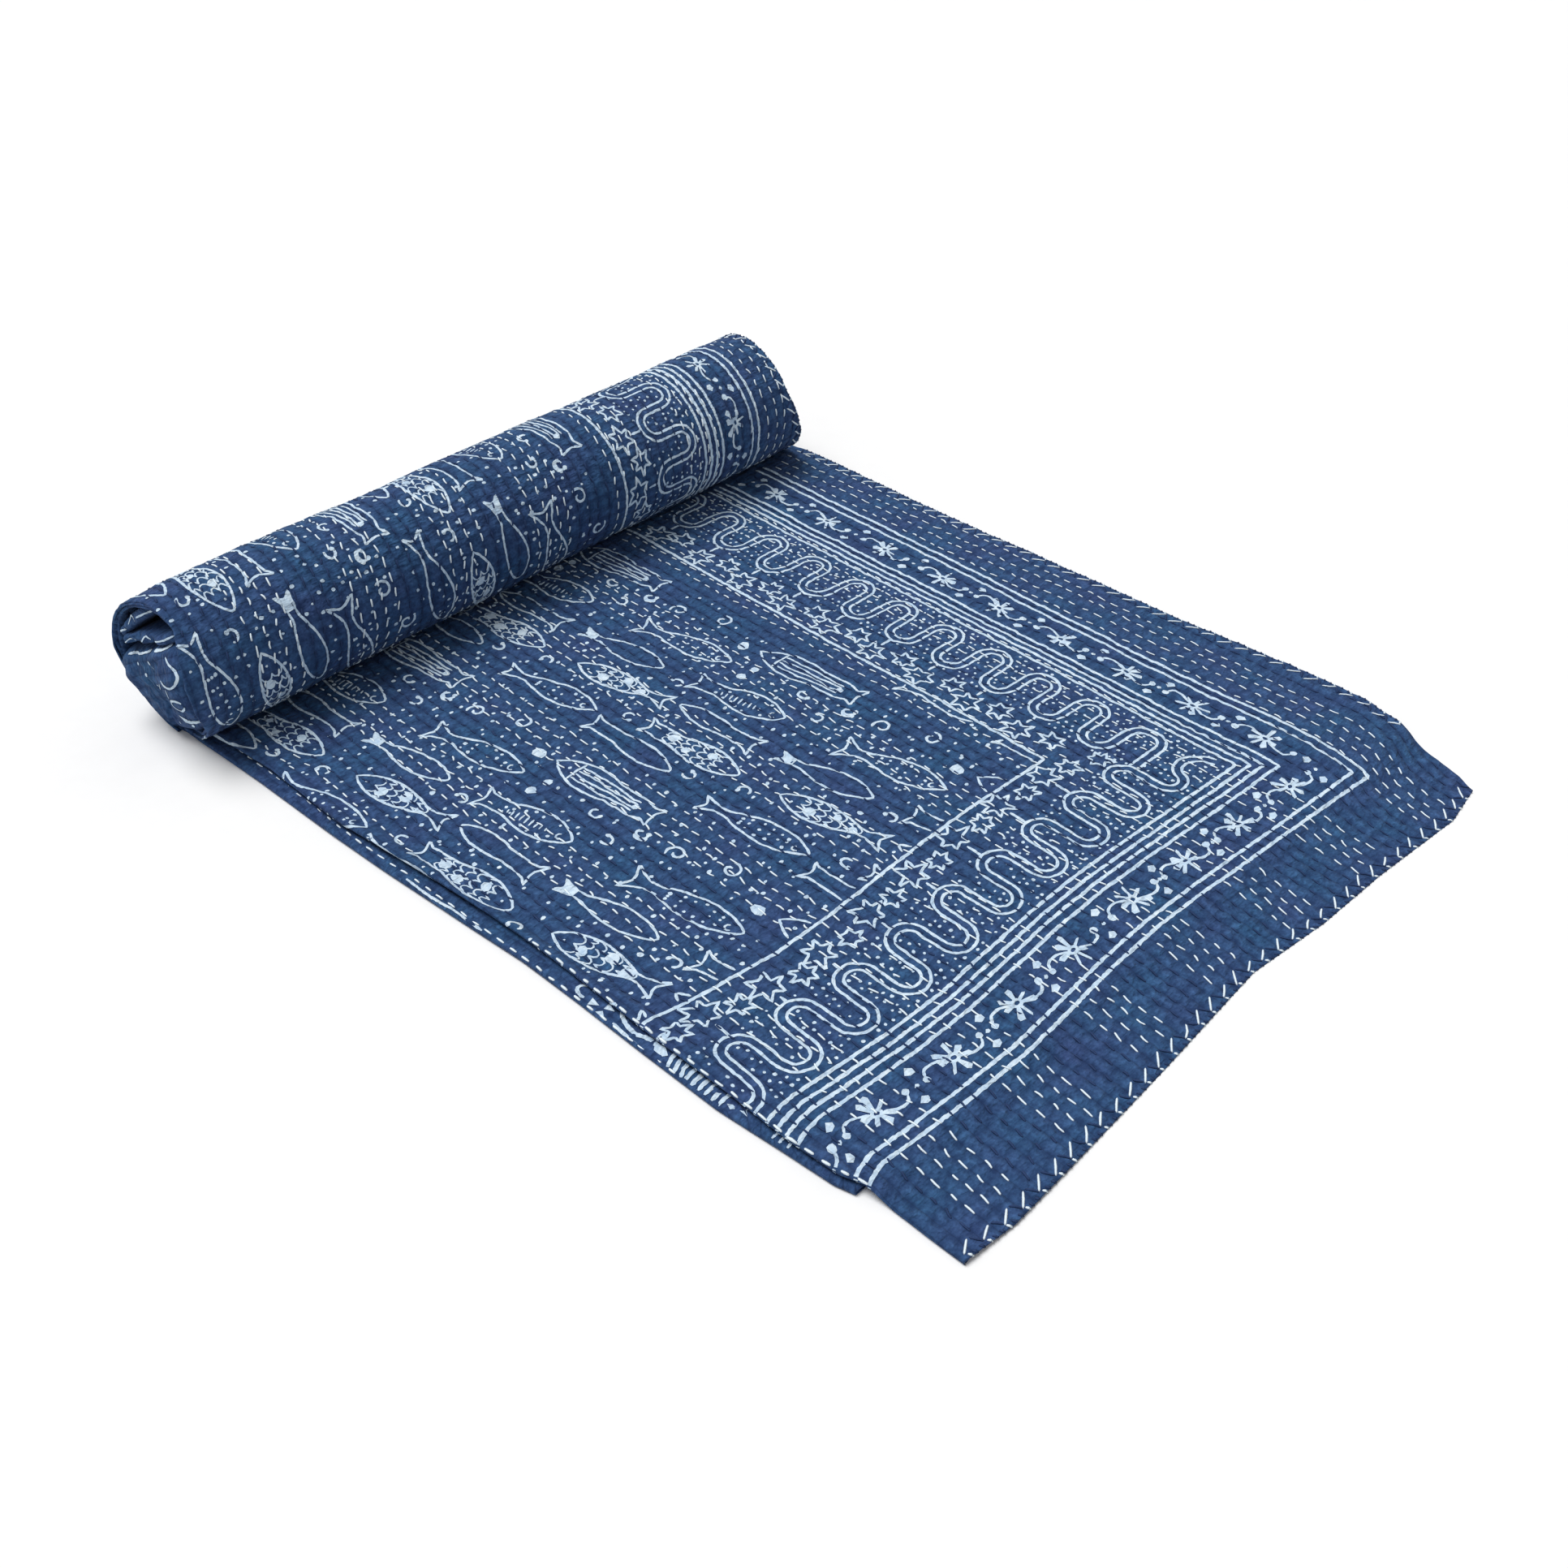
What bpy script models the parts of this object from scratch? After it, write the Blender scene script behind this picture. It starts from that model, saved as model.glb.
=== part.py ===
"""Kantha quilt, folded lengthwise into four layers and half rolled up.

The quilt is one stitched cloth. It is folded back and forth into a long packet of four layers,
each one panel wide, and the packet is rolled up from its far end over the top. What is left
unrolled lies flat in front of the roll: the top layer reaches furthest and drops to the ground
at the near end, the folds are a little askew, and the roll's ends show the edges of its turns.

Axes: X runs along the roll, to the right; Y runs from the near end to the roll; Z is up. Sizes
are in metres. Places are measured from the corner of the printed border on the top layer, and
the finished quilt is then centred on its own box and stands on Z = 0.
"""

import math

import bmesh
import bpy
from mathutils import Matrix, Vector

# The cloth
CLOTH_THICKNESS = 0.0011      # two thin cotton cloths quilted together
LAYERS = 4
LAYER_PITCH = 0.0018          # from one layer to the next where they lie flat, air included
FOLD_PUFF = 0.0008            # how much further apart they are beside the left folds
FOLD_PUFF_WIDTH = 0.012
WOUND_PITCH = 0.00135         # from one layer to the next in the roll

# The roll
ROLL_RADIUS = 0.0545          # mean radius of the outermost turn
TURN_PITCH = LAYERS * WOUND_PITCH
ROLL_PRESS = 0.0015           # how far the outermost turn sinks into the stretch in front of it
ROLL_FLAT = 0.0005            # how far the weight of the roll flattens its underside
ROLL_AXIS_Y = 0.6102          # where the flat stretch meets the roll, halfway along it
ROLL_AXIS_YAW = math.radians(3.16)
ROLL_YAW_X = -0.230           # the place along the roll that the yaw turns about
ROLL_STEPS = 32               # points round one turn
ROLL_HALF_TURNS = 18          # rings, half a turn's thickness apart, on each end face
ROLL_SPANS = 12               # spans along the roll
TURN_GROOVE = 0.0035          # depth of the groove between two turns on the end faces

# The roll is a little slimmer towards its left end
GIRTH_COLUMNS = ("x", "share")
GIRTH_ROWS = (
    (-0.565, 0.955),
    (-0.535, 0.978),
    (-0.350, 0.982),
    (-0.150, 0.990),
    (0.000, 1.000),
)

# The rolled-up ends, along X. The left rim is uneven: its X at angles round the roll from its foot
LEFT_END = -0.5615
LEFT_RIM_COLUMNS = ("angle", "x")
LEFT_RIM_ROWS = (
    (0, -0.5560),
    (90, -0.5670),
    (150, -0.5620),
    (212, -0.5590),
    (232, -0.5640),
    (254, -0.5670),
    (276, -0.5640),
    (308, -0.5550),
    (360, -0.5560),
)
RIGHT_RIM = 0.0310
RIGHT_RIM_LEAN = 0.0216       # the right end leans: its front reaches further out than its back
RIGHT_RIM_LEAN_ANGLE = math.radians(25)
CORE_SLIDE = 0.0060           # how far the inner turns have slid to the left
CORE_SLIDE_SHARE = 0.30       # share of the radius over which they come to do so
CORE_HOLLOW = 0.0100          # how far the middle of the left end lies behind them
CORE_HOLLOW_START = 0.45      # share of the radius, from outside, where the hollow starts
CORE_HOLLOW_SHARE = 0.45
# The turns' edges are crumpled: waves round each ring, twisted from one ring to the next
CRUMPLE_COLUMNS = ("depth", "waves", "twist")
CRUMPLE_ROWS = (
    (0.0013, 3, 1.7),
    (0.0007, 7, -1.0),
)

# The flat stretch: its long edges and folds at places along Y. top_edge is the quilt's own edge
# on the top layer, left_fold joins layers 1 and 2, right_fold layers 2 and 3, low_fold layers
# 3 and 4, and low_edge is the quilt's other edge, at the bottom.
EDGE_COLUMNS = ("y", "top_edge", "left_fold", "right_fold", "low_fold", "low_edge")
EDGE_ROWS = (
    (-0.066, 0.0350, -0.4955, 0.0600, -0.5040, 0.0540),
    (-0.054, 0.0385, -0.4960, 0.0600, -0.5025, 0.0540),
    (-0.043, 0.0446, -0.4965, 0.0600, -0.5020, 0.0540),
    (-0.028, 0.0495, -0.4968, 0.0600, -0.5020, 0.0540),
    (-0.014, 0.0535, -0.4973, 0.0600, -0.5020, 0.0540),
    (0.001, 0.0582, -0.4990, 0.0600, -0.5035, 0.0540),
    (0.014, 0.0640, -0.5030, 0.0620, -0.5075, 0.0545),
    (0.046, 0.0714, -0.5070, 0.0680, -0.5120, 0.0550),
    (0.092, 0.0704, -0.5110, 0.0675, -0.5160, 0.0550),
    (0.152, 0.0654, -0.5115, 0.0635, -0.5175, 0.0550),
    (0.207, 0.0612, -0.5150, 0.0598, -0.5195, 0.0545),
    (0.253, 0.0592, -0.5195, 0.0578, -0.5230, 0.0540),
    (0.294, 0.0570, -0.5290, 0.0556, -0.5285, 0.0530),
    (0.377, 0.0535, -0.5395, 0.0520, -0.5365, 0.0500),
    (0.430, 0.0512, -0.5425, 0.0498, -0.5400, 0.0480),
    (0.510, 0.0515, -0.5472, 0.0495, -0.5450, 0.0470),
    (0.575, 0.0500, -0.5492, 0.0480, -0.5530, 0.0450),
    (0.640, 0.0450, -0.5500, 0.0430, -0.5550, 0.0400),
)

# Where each layer's near edge lies: at its right end, and at its left end or fold
NEAR_COLUMNS = ("layer", "right", "left")
NEAR_ROWS = (
    (2, 0.010, -0.0644),
    (3, 0.010, -0.004),
    (4, 0.006, -0.004),
)
# The top layer's near edge is uneven: its Y at shares of the way from right to left
TOP_NEAR_COLUMNS = ("across", "y")
TOP_NEAR_ROWS = (
    (0.00, -0.0560),
    (0.07, -0.0625),
    (0.23, -0.0572),
    (0.35, -0.0562),
    (0.48, -0.0500),
    (0.67, -0.0582),
    (0.85, -0.0645),
    (0.93, -0.0670),
    (1.00, -0.0645),
)
DROP_LENGTH = 0.022           # a layer comes down to the ground over this length

# Soft swells that lift the upper layers off the lower ones
SWELL_COLUMNS = ("x", "y", "half_width", "half_length", "height")
SWELL_ROWS = (
    (-0.525, 0.400, 0.010, 0.130, 0.0022),
    (-0.500, 0.140, 0.009, 0.060, 0.0014),
    (-0.330, 0.400, 0.070, 0.110, 0.0014),
    (-0.120, 0.180, 0.090, 0.120, 0.0012),
    (0.030, 0.330, 0.020, 0.160, 0.0014),
)
SWELL_SHARE = {1: 1.0, 2: 0.6, 3: 0.3, 4: 0.0}

# How finely the flat stretch is modelled
LAYER_SHARES = (0.0, 0.015, 0.045, 0.15, 0.35, 0.6, 0.85, 0.955, 0.985, 1.0)
FOLD_STEPS = 4                # spans round one fold
ROWS = 27                     # spans along Y
ROW_CROWDING = 1.45           # above 1, rows crowd towards the near end
ROLL_OVERLAP = 0.008          # how far the flat stretch runs on inside the roll
ROLL_LIFT = 0.0012            # its rise there, so that the roll covers its underside
ROLL_LIFT_START = 0.016       # the rise starts this far before the line where it meets the roll
ROLL_LIFT_LENGTH = 0.020
PLACING_PASSES = 2            # a point's X and Y depend on each other and are worked out in turn

INDIGO = (0.035, 0.090, 0.250, 1.0)


def eased(share):
    """A share clamped to 0..1 with a soft start and end."""
    share = min(max(share, 0.0), 1.0)
    return share * share * (3.0 - 2.0 * share)


def by_name(columns, rows):
    """The rows of a table as dictionaries by column name."""
    return [dict(zip(columns, row)) for row in rows]


EDGES = by_name(EDGE_COLUMNS, EDGE_ROWS)
NEAR_ENDS = by_name(NEAR_COLUMNS, NEAR_ROWS)
TOP_NEAR_END = by_name(TOP_NEAR_COLUMNS, TOP_NEAR_ROWS)
SWELLS = by_name(SWELL_COLUMNS, SWELL_ROWS)
GIRTHS = by_name(GIRTH_COLUMNS, GIRTH_ROWS)
LEFT_RIM = by_name(LEFT_RIM_COLUMNS, LEFT_RIM_ROWS)
CRUMPLES = by_name(CRUMPLE_COLUMNS, CRUMPLE_ROWS)


def between_rows(rows, along, column, place):
    """A column's value at a place along another column, on straight lines between the rows."""
    if place <= rows[0][along]:
        return rows[0][column]
    for low, high in zip(rows, rows[1:]):
        if place <= high[along]:
            share = (place - low[along]) / (high[along] - low[along])
            return low[column] + share * (high[column] - low[column])
    return rows[-1][column]


def edge_place(name, y):
    """The X of one of the long edges or folds at a place along Y."""
    return between_rows(EDGES, "y", name, y)


def roll_axis_y(x):
    """Where the roll's axis lies along Y, at a place along X."""
    return ROLL_AXIS_Y + (x - ROLL_YAW_X) * math.tan(ROLL_AXIS_YAW)


def near_edge(layer, across):
    """Y of a layer's near edge; across runs from 0 at its right end to 1 at its left."""
    if layer == 1:
        return between_rows(TOP_NEAR_END, "across", "y", across)
    end = next(row for row in NEAR_ENDS if row["layer"] == layer)
    return end["right"] + (end["left"] - end["right"]) * across


def across_at(x, y):
    """The share of the way from the right long edge to the left fold."""
    right = edge_place("top_edge", y)
    left = edge_place("left_fold", y)
    return min(max((right - x) / (right - left), 0.0), 1.0)


def drop(layer, x, y):
    """How far a layer sinks where the layers under it have ended."""
    pitch = layer_pitch(x, y)
    across = across_at(x, y)
    low_end = near_edge(3, across)
    fall = 0.0
    if layer <= 2:
        fall += 2 * pitch * (1.0 - eased((y - low_end + DROP_LENGTH) / DROP_LENGTH))
    if layer == 1:
        second_end = near_edge(2, across)
        fall += pitch * (1.0 - eased((y - second_end + DROP_LENGTH) / DROP_LENGTH))
    return fall


def swell(layer, x, y):
    """The lift of a layer above the flat stack."""
    rise = 0.0
    for row in SWELLS:
        sideways = (x - row["x"]) / row["half_width"]
        lengthways = (y - row["y"]) / row["half_length"]
        rise += row["height"] * math.exp(-0.5 * (sideways ** 2 + lengthways ** 2))
    return rise * SWELL_SHARE[layer]


def layer_pitch(x, y):
    """From one layer to the next in the flat stretch, with the air beside the left folds."""
    inset = (x - edge_place("left_fold", y)) / FOLD_PUFF_WIDTH
    return LAYER_PITCH + FOLD_PUFF * math.exp(-inset * inset)


def section_stops():
    """The points of the back-and-forth section, from the top edge to the bottom edge.

    Each is (layer, share across the layer from its start, angle round a fold or None).
    """
    stops = []
    for layer in range(1, LAYERS + 1):
        for share in LAYER_SHARES:
            stops.append((layer, share, None))
        if layer < LAYERS:
            for step in range(1, FOLD_STEPS):
                stops.append((layer, 1.0, math.pi * step / FOLD_STEPS))
    return stops


LAYER_SIDES = {
    1: ("top_edge", "left_fold"),
    2: ("left_fold", "right_fold"),
    3: ("right_fold", "low_fold"),
    4: ("low_fold", "low_edge"),
}


def packet_point(stop, along):
    """A point of the flat stretch's middle surface; along runs from the near edge to the roll."""
    layer, share, angle = stop
    leftward = layer % 2 == 1
    across = share if leftward else 1.0 - share
    near = near_edge(layer, across)
    start_name, end_name = LAYER_SIDES[layer]
    inward = 1.0 if leftward else -1.0
    turned = 0.0 if angle is None else 0.5 * (1.0 - math.cos(angle))

    y = near
    x = 0.5 * (edge_place(start_name, near) + edge_place(end_name, near))
    for _ in range(PLACING_PASSES):
        far = roll_axis_y(x) + ROLL_OVERLAP
        y = near + (far - near) * along ** ROW_CROWDING
        start_edge = edge_place(start_name, y)
        end_edge = edge_place(end_name, y)
        start_inset = 0.5 * (layer_pitch(start_edge, y) + CLOTH_THICKNESS)
        end_inset = 0.5 * (layer_pitch(end_edge, y) + CLOTH_THICKNESS)
        start = start_edge - inward * (start_inset if layer > 1 else 0.0)
        end = end_edge + inward * (end_inset if layer < LAYERS else 0.0)
        x = start + share * (end - start)

    pitch = layer_pitch(x, y)
    z = (LAYERS - layer - turned) * pitch + 0.5 * CLOTH_THICKNESS
    if angle is not None:
        x -= inward * 0.5 * pitch * math.sin(angle)
    for number, weight in ((layer, 1.0 - turned), (min(layer + 1, LAYERS), turned)):
        z += weight * (swell(number, x, y) - drop(number, x, y))
    z += ROLL_LIFT * eased((y - roll_axis_y(x) + ROLL_LIFT_START) / ROLL_LIFT_LENGTH)
    return Vector((x, y, z))


def flat_stretch(collection, material):
    """The unrolled packet: a back-and-forth sheet, thickened to the quilt's cloth."""
    mesh = bpy.data.meshes.new("quilt")
    grid = bmesh.new()
    stops = section_stops()
    rows = [[grid.verts.new(packet_point(stop, row / ROWS)) for stop in stops]
            for row in range(ROWS + 1)]
    for low, high in zip(rows, rows[1:]):
        for index in range(len(stops) - 1):
            grid.faces.new((low[index], high[index], high[index + 1], low[index + 1]))
    bmesh.ops.recalc_face_normals(grid, faces=grid.faces)
    grid.to_mesh(mesh)
    grid.free()
    quilt = bpy.data.objects.new("quilt", mesh)
    collection.objects.link(quilt)
    mesh.materials.append(material)
    thickness = quilt.modifiers.new("cloth thickness", "SOLIDIFY")
    thickness.thickness = CLOTH_THICKNESS
    thickness.offset = 0.0
    thickness.use_even_offset = True
    return quilt


def turn_radius(angle, half_turn):
    """Distance from the roll's axis to a ring, half_turn half pitches in from the outer turn."""
    radius = ROLL_RADIUS + TURN_PITCH * (0.5 - angle / (2.0 * math.pi))
    radius -= 0.5 * TURN_PITCH * half_turn
    return radius + ROLL_PRESS * eased(angle / math.pi - 1.0)


def core_slide(radius):
    """How far a turn has slid to the left: none outside, most a little way in."""
    share = 1.0 - radius / ROLL_RADIUS
    hollow = CORE_HOLLOW * eased((share - CORE_HOLLOW_START) / CORE_HOLLOW_SHARE)
    return CORE_SLIDE * eased(share / CORE_SLIDE_SHARE) - hollow


def left_end(angle, radius):
    """X of the roll's left end: uneven at the rim, less so further in."""
    rim = between_rows(LEFT_RIM, "angle", "x", math.degrees(angle))
    return LEFT_END + (rim - LEFT_END) * radius / ROLL_RADIUS


def right_end(angle, radius):
    """X of the roll's right end, a leaning face: angles go round the roll from its foot."""
    lean = RIGHT_RIM_LEAN * radius / ROLL_RADIUS
    return RIGHT_RIM + lean * math.cos(angle - RIGHT_RIM_LEAN_ANGLE)


def roll_point(angle, half_turn, x):
    """A point of the roll at a place along it, an angle round it and a ring."""
    girth = between_rows(GIRTHS, "x", "share", x)
    radius = turn_radius(angle, half_turn)
    y = roll_axis_y(x) + girth * radius * math.sin(angle)
    z = girth * (turn_radius(0.0, 0) - radius * math.cos(angle)) - ROLL_FLAT
    return Vector((x, y, max(z, 0.0)))


def end_face_x(end, angle, half_turn, outward):
    """X of an end face: the slid turns, a groove between each two, and crumpled edges."""
    radius = turn_radius(angle, half_turn)
    x = end(angle, radius) - core_slide(radius)
    if half_turn:
        for row in CRUMPLES:
            x += row["depth"] * math.sin(row["waves"] * angle + row["twist"] * half_turn)
        if half_turn % 2 == 0:
            x -= outward * TURN_GROOVE
    return x


def roll_form(collection):
    """The wound form of the roll: one turn's outline, swept along, with spiral end faces."""
    form = bmesh.new()
    angles = [2.0 * math.pi * step / ROLL_STEPS for step in range(ROLL_STEPS)]

    def face_rings(end, outward):
        rings = []
        for half_turn in range(ROLL_HALF_TURNS + 1):
            ring = []
            for angle in angles:
                x = end_face_x(end, angle, half_turn, outward)
                ring.append(form.verts.new(roll_point(angle, half_turn, x)))
            rings.append(ring)
        return rings

    def spiral(rings, half_turn, step):
        """A ring runs on into the ring one whole turn further in."""
        if step < ROLL_STEPS:
            return rings[half_turn][step]
        return rings[half_turn + 2][step - ROLL_STEPS]

    def close_face(rings, flip):
        last = ROLL_HALF_TURNS - 2
        for half_turn in range(last):
            for step in range(ROLL_STEPS):
                corners = [spiral(rings, half_turn, step), spiral(rings, half_turn, step + 1),
                           spiral(rings, half_turn + 1, step + 1),
                           spiral(rings, half_turn + 1, step)]
                form.faces.new(corners[::-1] if flip else corners)
        hub_ring = [spiral(rings, last, step) for step in range(ROLL_STEPS + 1)]
        hub_ring.append(rings[last + 1][0])
        centre = sum((vertex.co for vertex in hub_ring), Vector()) / len(hub_ring)
        hub = form.verts.new(centre)
        for first, second in zip(hub_ring, hub_ring[1:] + hub_ring[:1]):
            corners = [first, second, hub]
            form.faces.new(corners[::-1] if flip else corners)

    left = face_rings(left_end, -1.0)
    right = face_rings(right_end, 1.0)
    close_face(left, flip=False)
    close_face(right, flip=True)

    outline = [(angle, 0) for angle in angles] + [(0.0, 2), (0.0, 1)]
    loops = [left[0] + [left[2][0], left[1][0]]]
    for span in range(1, ROLL_SPANS):
        share = span / ROLL_SPANS
        loop = []
        for angle, half_turn in outline:
            left_x = end_face_x(left_end, angle, half_turn, -1.0)
            right_x = end_face_x(right_end, angle, half_turn, 1.0)
            x = left_x + share * (right_x - left_x)
            loop.append(form.verts.new(roll_point(angle, half_turn, x)))
        loops.append(loop)
    loops.append(right[0] + [right[2][0], right[1][0]])
    for low, high in zip(loops, loops[1:]):
        for index in range(len(outline)):
            after = (index + 1) % len(outline)
            form.faces.new((low[index], high[index], high[after], low[after]))

    for unused in [vertex for vertex in form.verts if not vertex.link_faces]:
        form.verts.remove(unused)
    bmesh.ops.recalc_face_normals(form, faces=form.faces)
    mesh = bpy.data.meshes.new("roll form")
    form.to_mesh(mesh)
    form.free()
    roll = bpy.data.objects.new("roll form", mesh)
    collection.objects.link(roll)
    roll.hide_render = True
    roll.display_type = "WIRE"
    return roll


def cotton_material():
    """Indigo cotton, matt."""
    material = bpy.data.materials.new("indigo cotton")
    material.use_nodes = True
    shader = material.node_tree.nodes["Principled BSDF"]
    shader.inputs["Base Color"].default_value = INDIGO
    shader.inputs["Roughness"].default_value = 0.9
    shader.inputs["Metallic"].default_value = 0.0
    return material


def centre_on_box(quilt, others):
    """Move everything so that the quilt's box is centred on X and Y and stands on Z = 0."""
    graph = bpy.context.evaluated_depsgraph_get()
    shape = quilt.evaluated_get(graph)
    corners = [vertex.co for vertex in shape.data.vertices]
    low = Vector([min(corner[axis] for corner in corners) for axis in range(3)])
    high = Vector([max(corner[axis] for corner in corners) for axis in range(3)])
    shift = Vector((-0.5 * (low.x + high.x), -0.5 * (low.y + high.y), -low.z))
    for item in [quilt] + others:
        item.data.transform(Matrix.Translation(shift))


def main():
    for item in list(bpy.data.objects):
        bpy.data.objects.remove(item, do_unlink=True)
    parts = bpy.data.collections.new("kantha quilt")
    cutters = bpy.data.collections.new("joining forms")
    bpy.context.scene.collection.children.link(parts)
    bpy.context.scene.collection.children.link(cutters)

    quilt = flat_stretch(parts, cotton_material())
    roll = roll_form(cutters)
    join = quilt.modifiers.new("roll", "BOOLEAN")
    join.operation = "UNION"
    join.solver = "EXACT"
    join.object = roll
    centre_on_box(quilt, [roll])


main()
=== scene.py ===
"""Dresses a kantha quilt that is folded lengthwise into four layers and half rolled up.

The whole cloth is one sheet, folded and wound. The two faces that show, the top of the flat
stretch and the outside of the roll, are finer panels of it that carry the quilting's puckers,
the block print and the running stitches. Places on the cloth are metres from the corner of the
printed border: x along the roll, to the right, and y from the near end towards the roll.
"""
import sys
import logging
import math
from dataclasses import dataclass, field
from enum import Enum
from typing import Callable, Iterable, Sequence

import bmesh
import bpy
import numpy as np
from mathutils import Matrix, Vector


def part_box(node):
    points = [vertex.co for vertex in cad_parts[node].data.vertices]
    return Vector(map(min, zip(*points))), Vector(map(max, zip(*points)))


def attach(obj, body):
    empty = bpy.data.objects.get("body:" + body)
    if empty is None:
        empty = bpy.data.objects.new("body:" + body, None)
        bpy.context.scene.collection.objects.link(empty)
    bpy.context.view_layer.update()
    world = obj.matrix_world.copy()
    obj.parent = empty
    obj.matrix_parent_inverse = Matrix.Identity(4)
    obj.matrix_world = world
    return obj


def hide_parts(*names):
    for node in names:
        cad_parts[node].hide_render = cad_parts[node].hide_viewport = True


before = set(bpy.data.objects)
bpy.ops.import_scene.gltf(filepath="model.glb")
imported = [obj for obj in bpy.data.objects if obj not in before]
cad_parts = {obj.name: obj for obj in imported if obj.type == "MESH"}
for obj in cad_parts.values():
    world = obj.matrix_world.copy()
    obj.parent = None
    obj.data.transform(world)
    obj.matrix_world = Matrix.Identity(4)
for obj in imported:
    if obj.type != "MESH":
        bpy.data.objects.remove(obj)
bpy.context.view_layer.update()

BOX_LOW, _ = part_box("quilt")

LOG = logging.getLogger("kantha quilt")
MM = 0.001
LOOP = 0.046  # one loop of the printed border, the unit that the print is laid out in
ROW = 0.204 * LOOP  # from one row of running stitches to the next
EDGE_FADE = 1.5 * MM  # how far down round an edge the puckers last
GROUND_GAP = 0.05 * MM  # the least height of the top face above the ground
CORNER = Vector((BOX_LOW.x + 0.57278, BOX_LOW.y + 0.06614, 0.0))  # the printed border's corner
Array = np.ndarray
Path = np.ndarray  # places on the cloth, one row each, in loops of the border
Spots = Sequence[Sequence[float]]
Node, Socket, Tree = bpy.types.Node, bpy.types.NodeSocket, bpy.types.NodeTree
Object, Material = bpy.types.Object, bpy.types.Material


def eased(share: Array) -> Array:
    """A share clamped to 0..1 with a soft start and end."""
    share = np.clip(share, 0.0, 1.0)
    return share * share * (3.0 - 2.0 * share)


def unit(vectors: Array) -> Array:
    """The same directions, of length 1."""
    return vectors / np.maximum(np.linalg.norm(vectors, axis=-1, keepdims=True), 1e-9)


def left_of(vectors: Array) -> Array:
    """Directions turned a quarter to the left."""
    return np.stack((-vectors[..., 1], vectors[..., 0]), -1)


def curl(x: float, y: float, wide: Array | float, high: Array | float, angles: Array) -> Array:
    """Points round a middle, at some angles."""
    return np.stack((x + wide * np.cos(angles), y + high * np.sin(angles)), -1)


@dataclass(frozen=True)
class Profile:
    """A short table of sizes, read at places along its first column."""

    columns: tuple[str, ...]
    rows: tuple[tuple[float, ...], ...]

    def at(self, name: str, place: Array) -> Array:
        """A column at places along the first one, on straight lines between the rows."""
        table = np.array(self.rows)
        return np.interp(place, table[:, 0], table[:, self.columns.index(name)])


class Unevenness:
    """Smooth seeded noise over a plane, between -1 and 1, that repeats after its cells.

    Numbers that callers add to its places only pick another part of the lattice.
    """

    CELLS = 64

    def __init__(self, seed: int) -> None:
        """Draws the lattice."""
        self.lattice = np.random.default_rng(seed).uniform(-1.0, 1.0, (self.CELLS, self.CELLS))

    def at(self, x: Array, y: Array) -> Array:
        """The noise at places measured in cells.

        Args:
            x: Places along the first direction.
            y: Places along the second.

        Returns:
            One value for each place.
        """
        x, y = np.broadcast_arrays(np.asarray(x, float), np.asarray(y, float))
        column, row = np.floor(x).astype(int), np.floor(y).astype(int)
        a, b = eased(x - column), eased(y - row)
        corners = [[self.lattice[(column + i) % self.CELLS, (row + j) % self.CELLS] for i in (0, 1)]
                   for j in (0, 1)]
        low, high = (first * (1 - a) + after * a for first, after in corners)
        return low * (1 - b) + high * b


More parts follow.
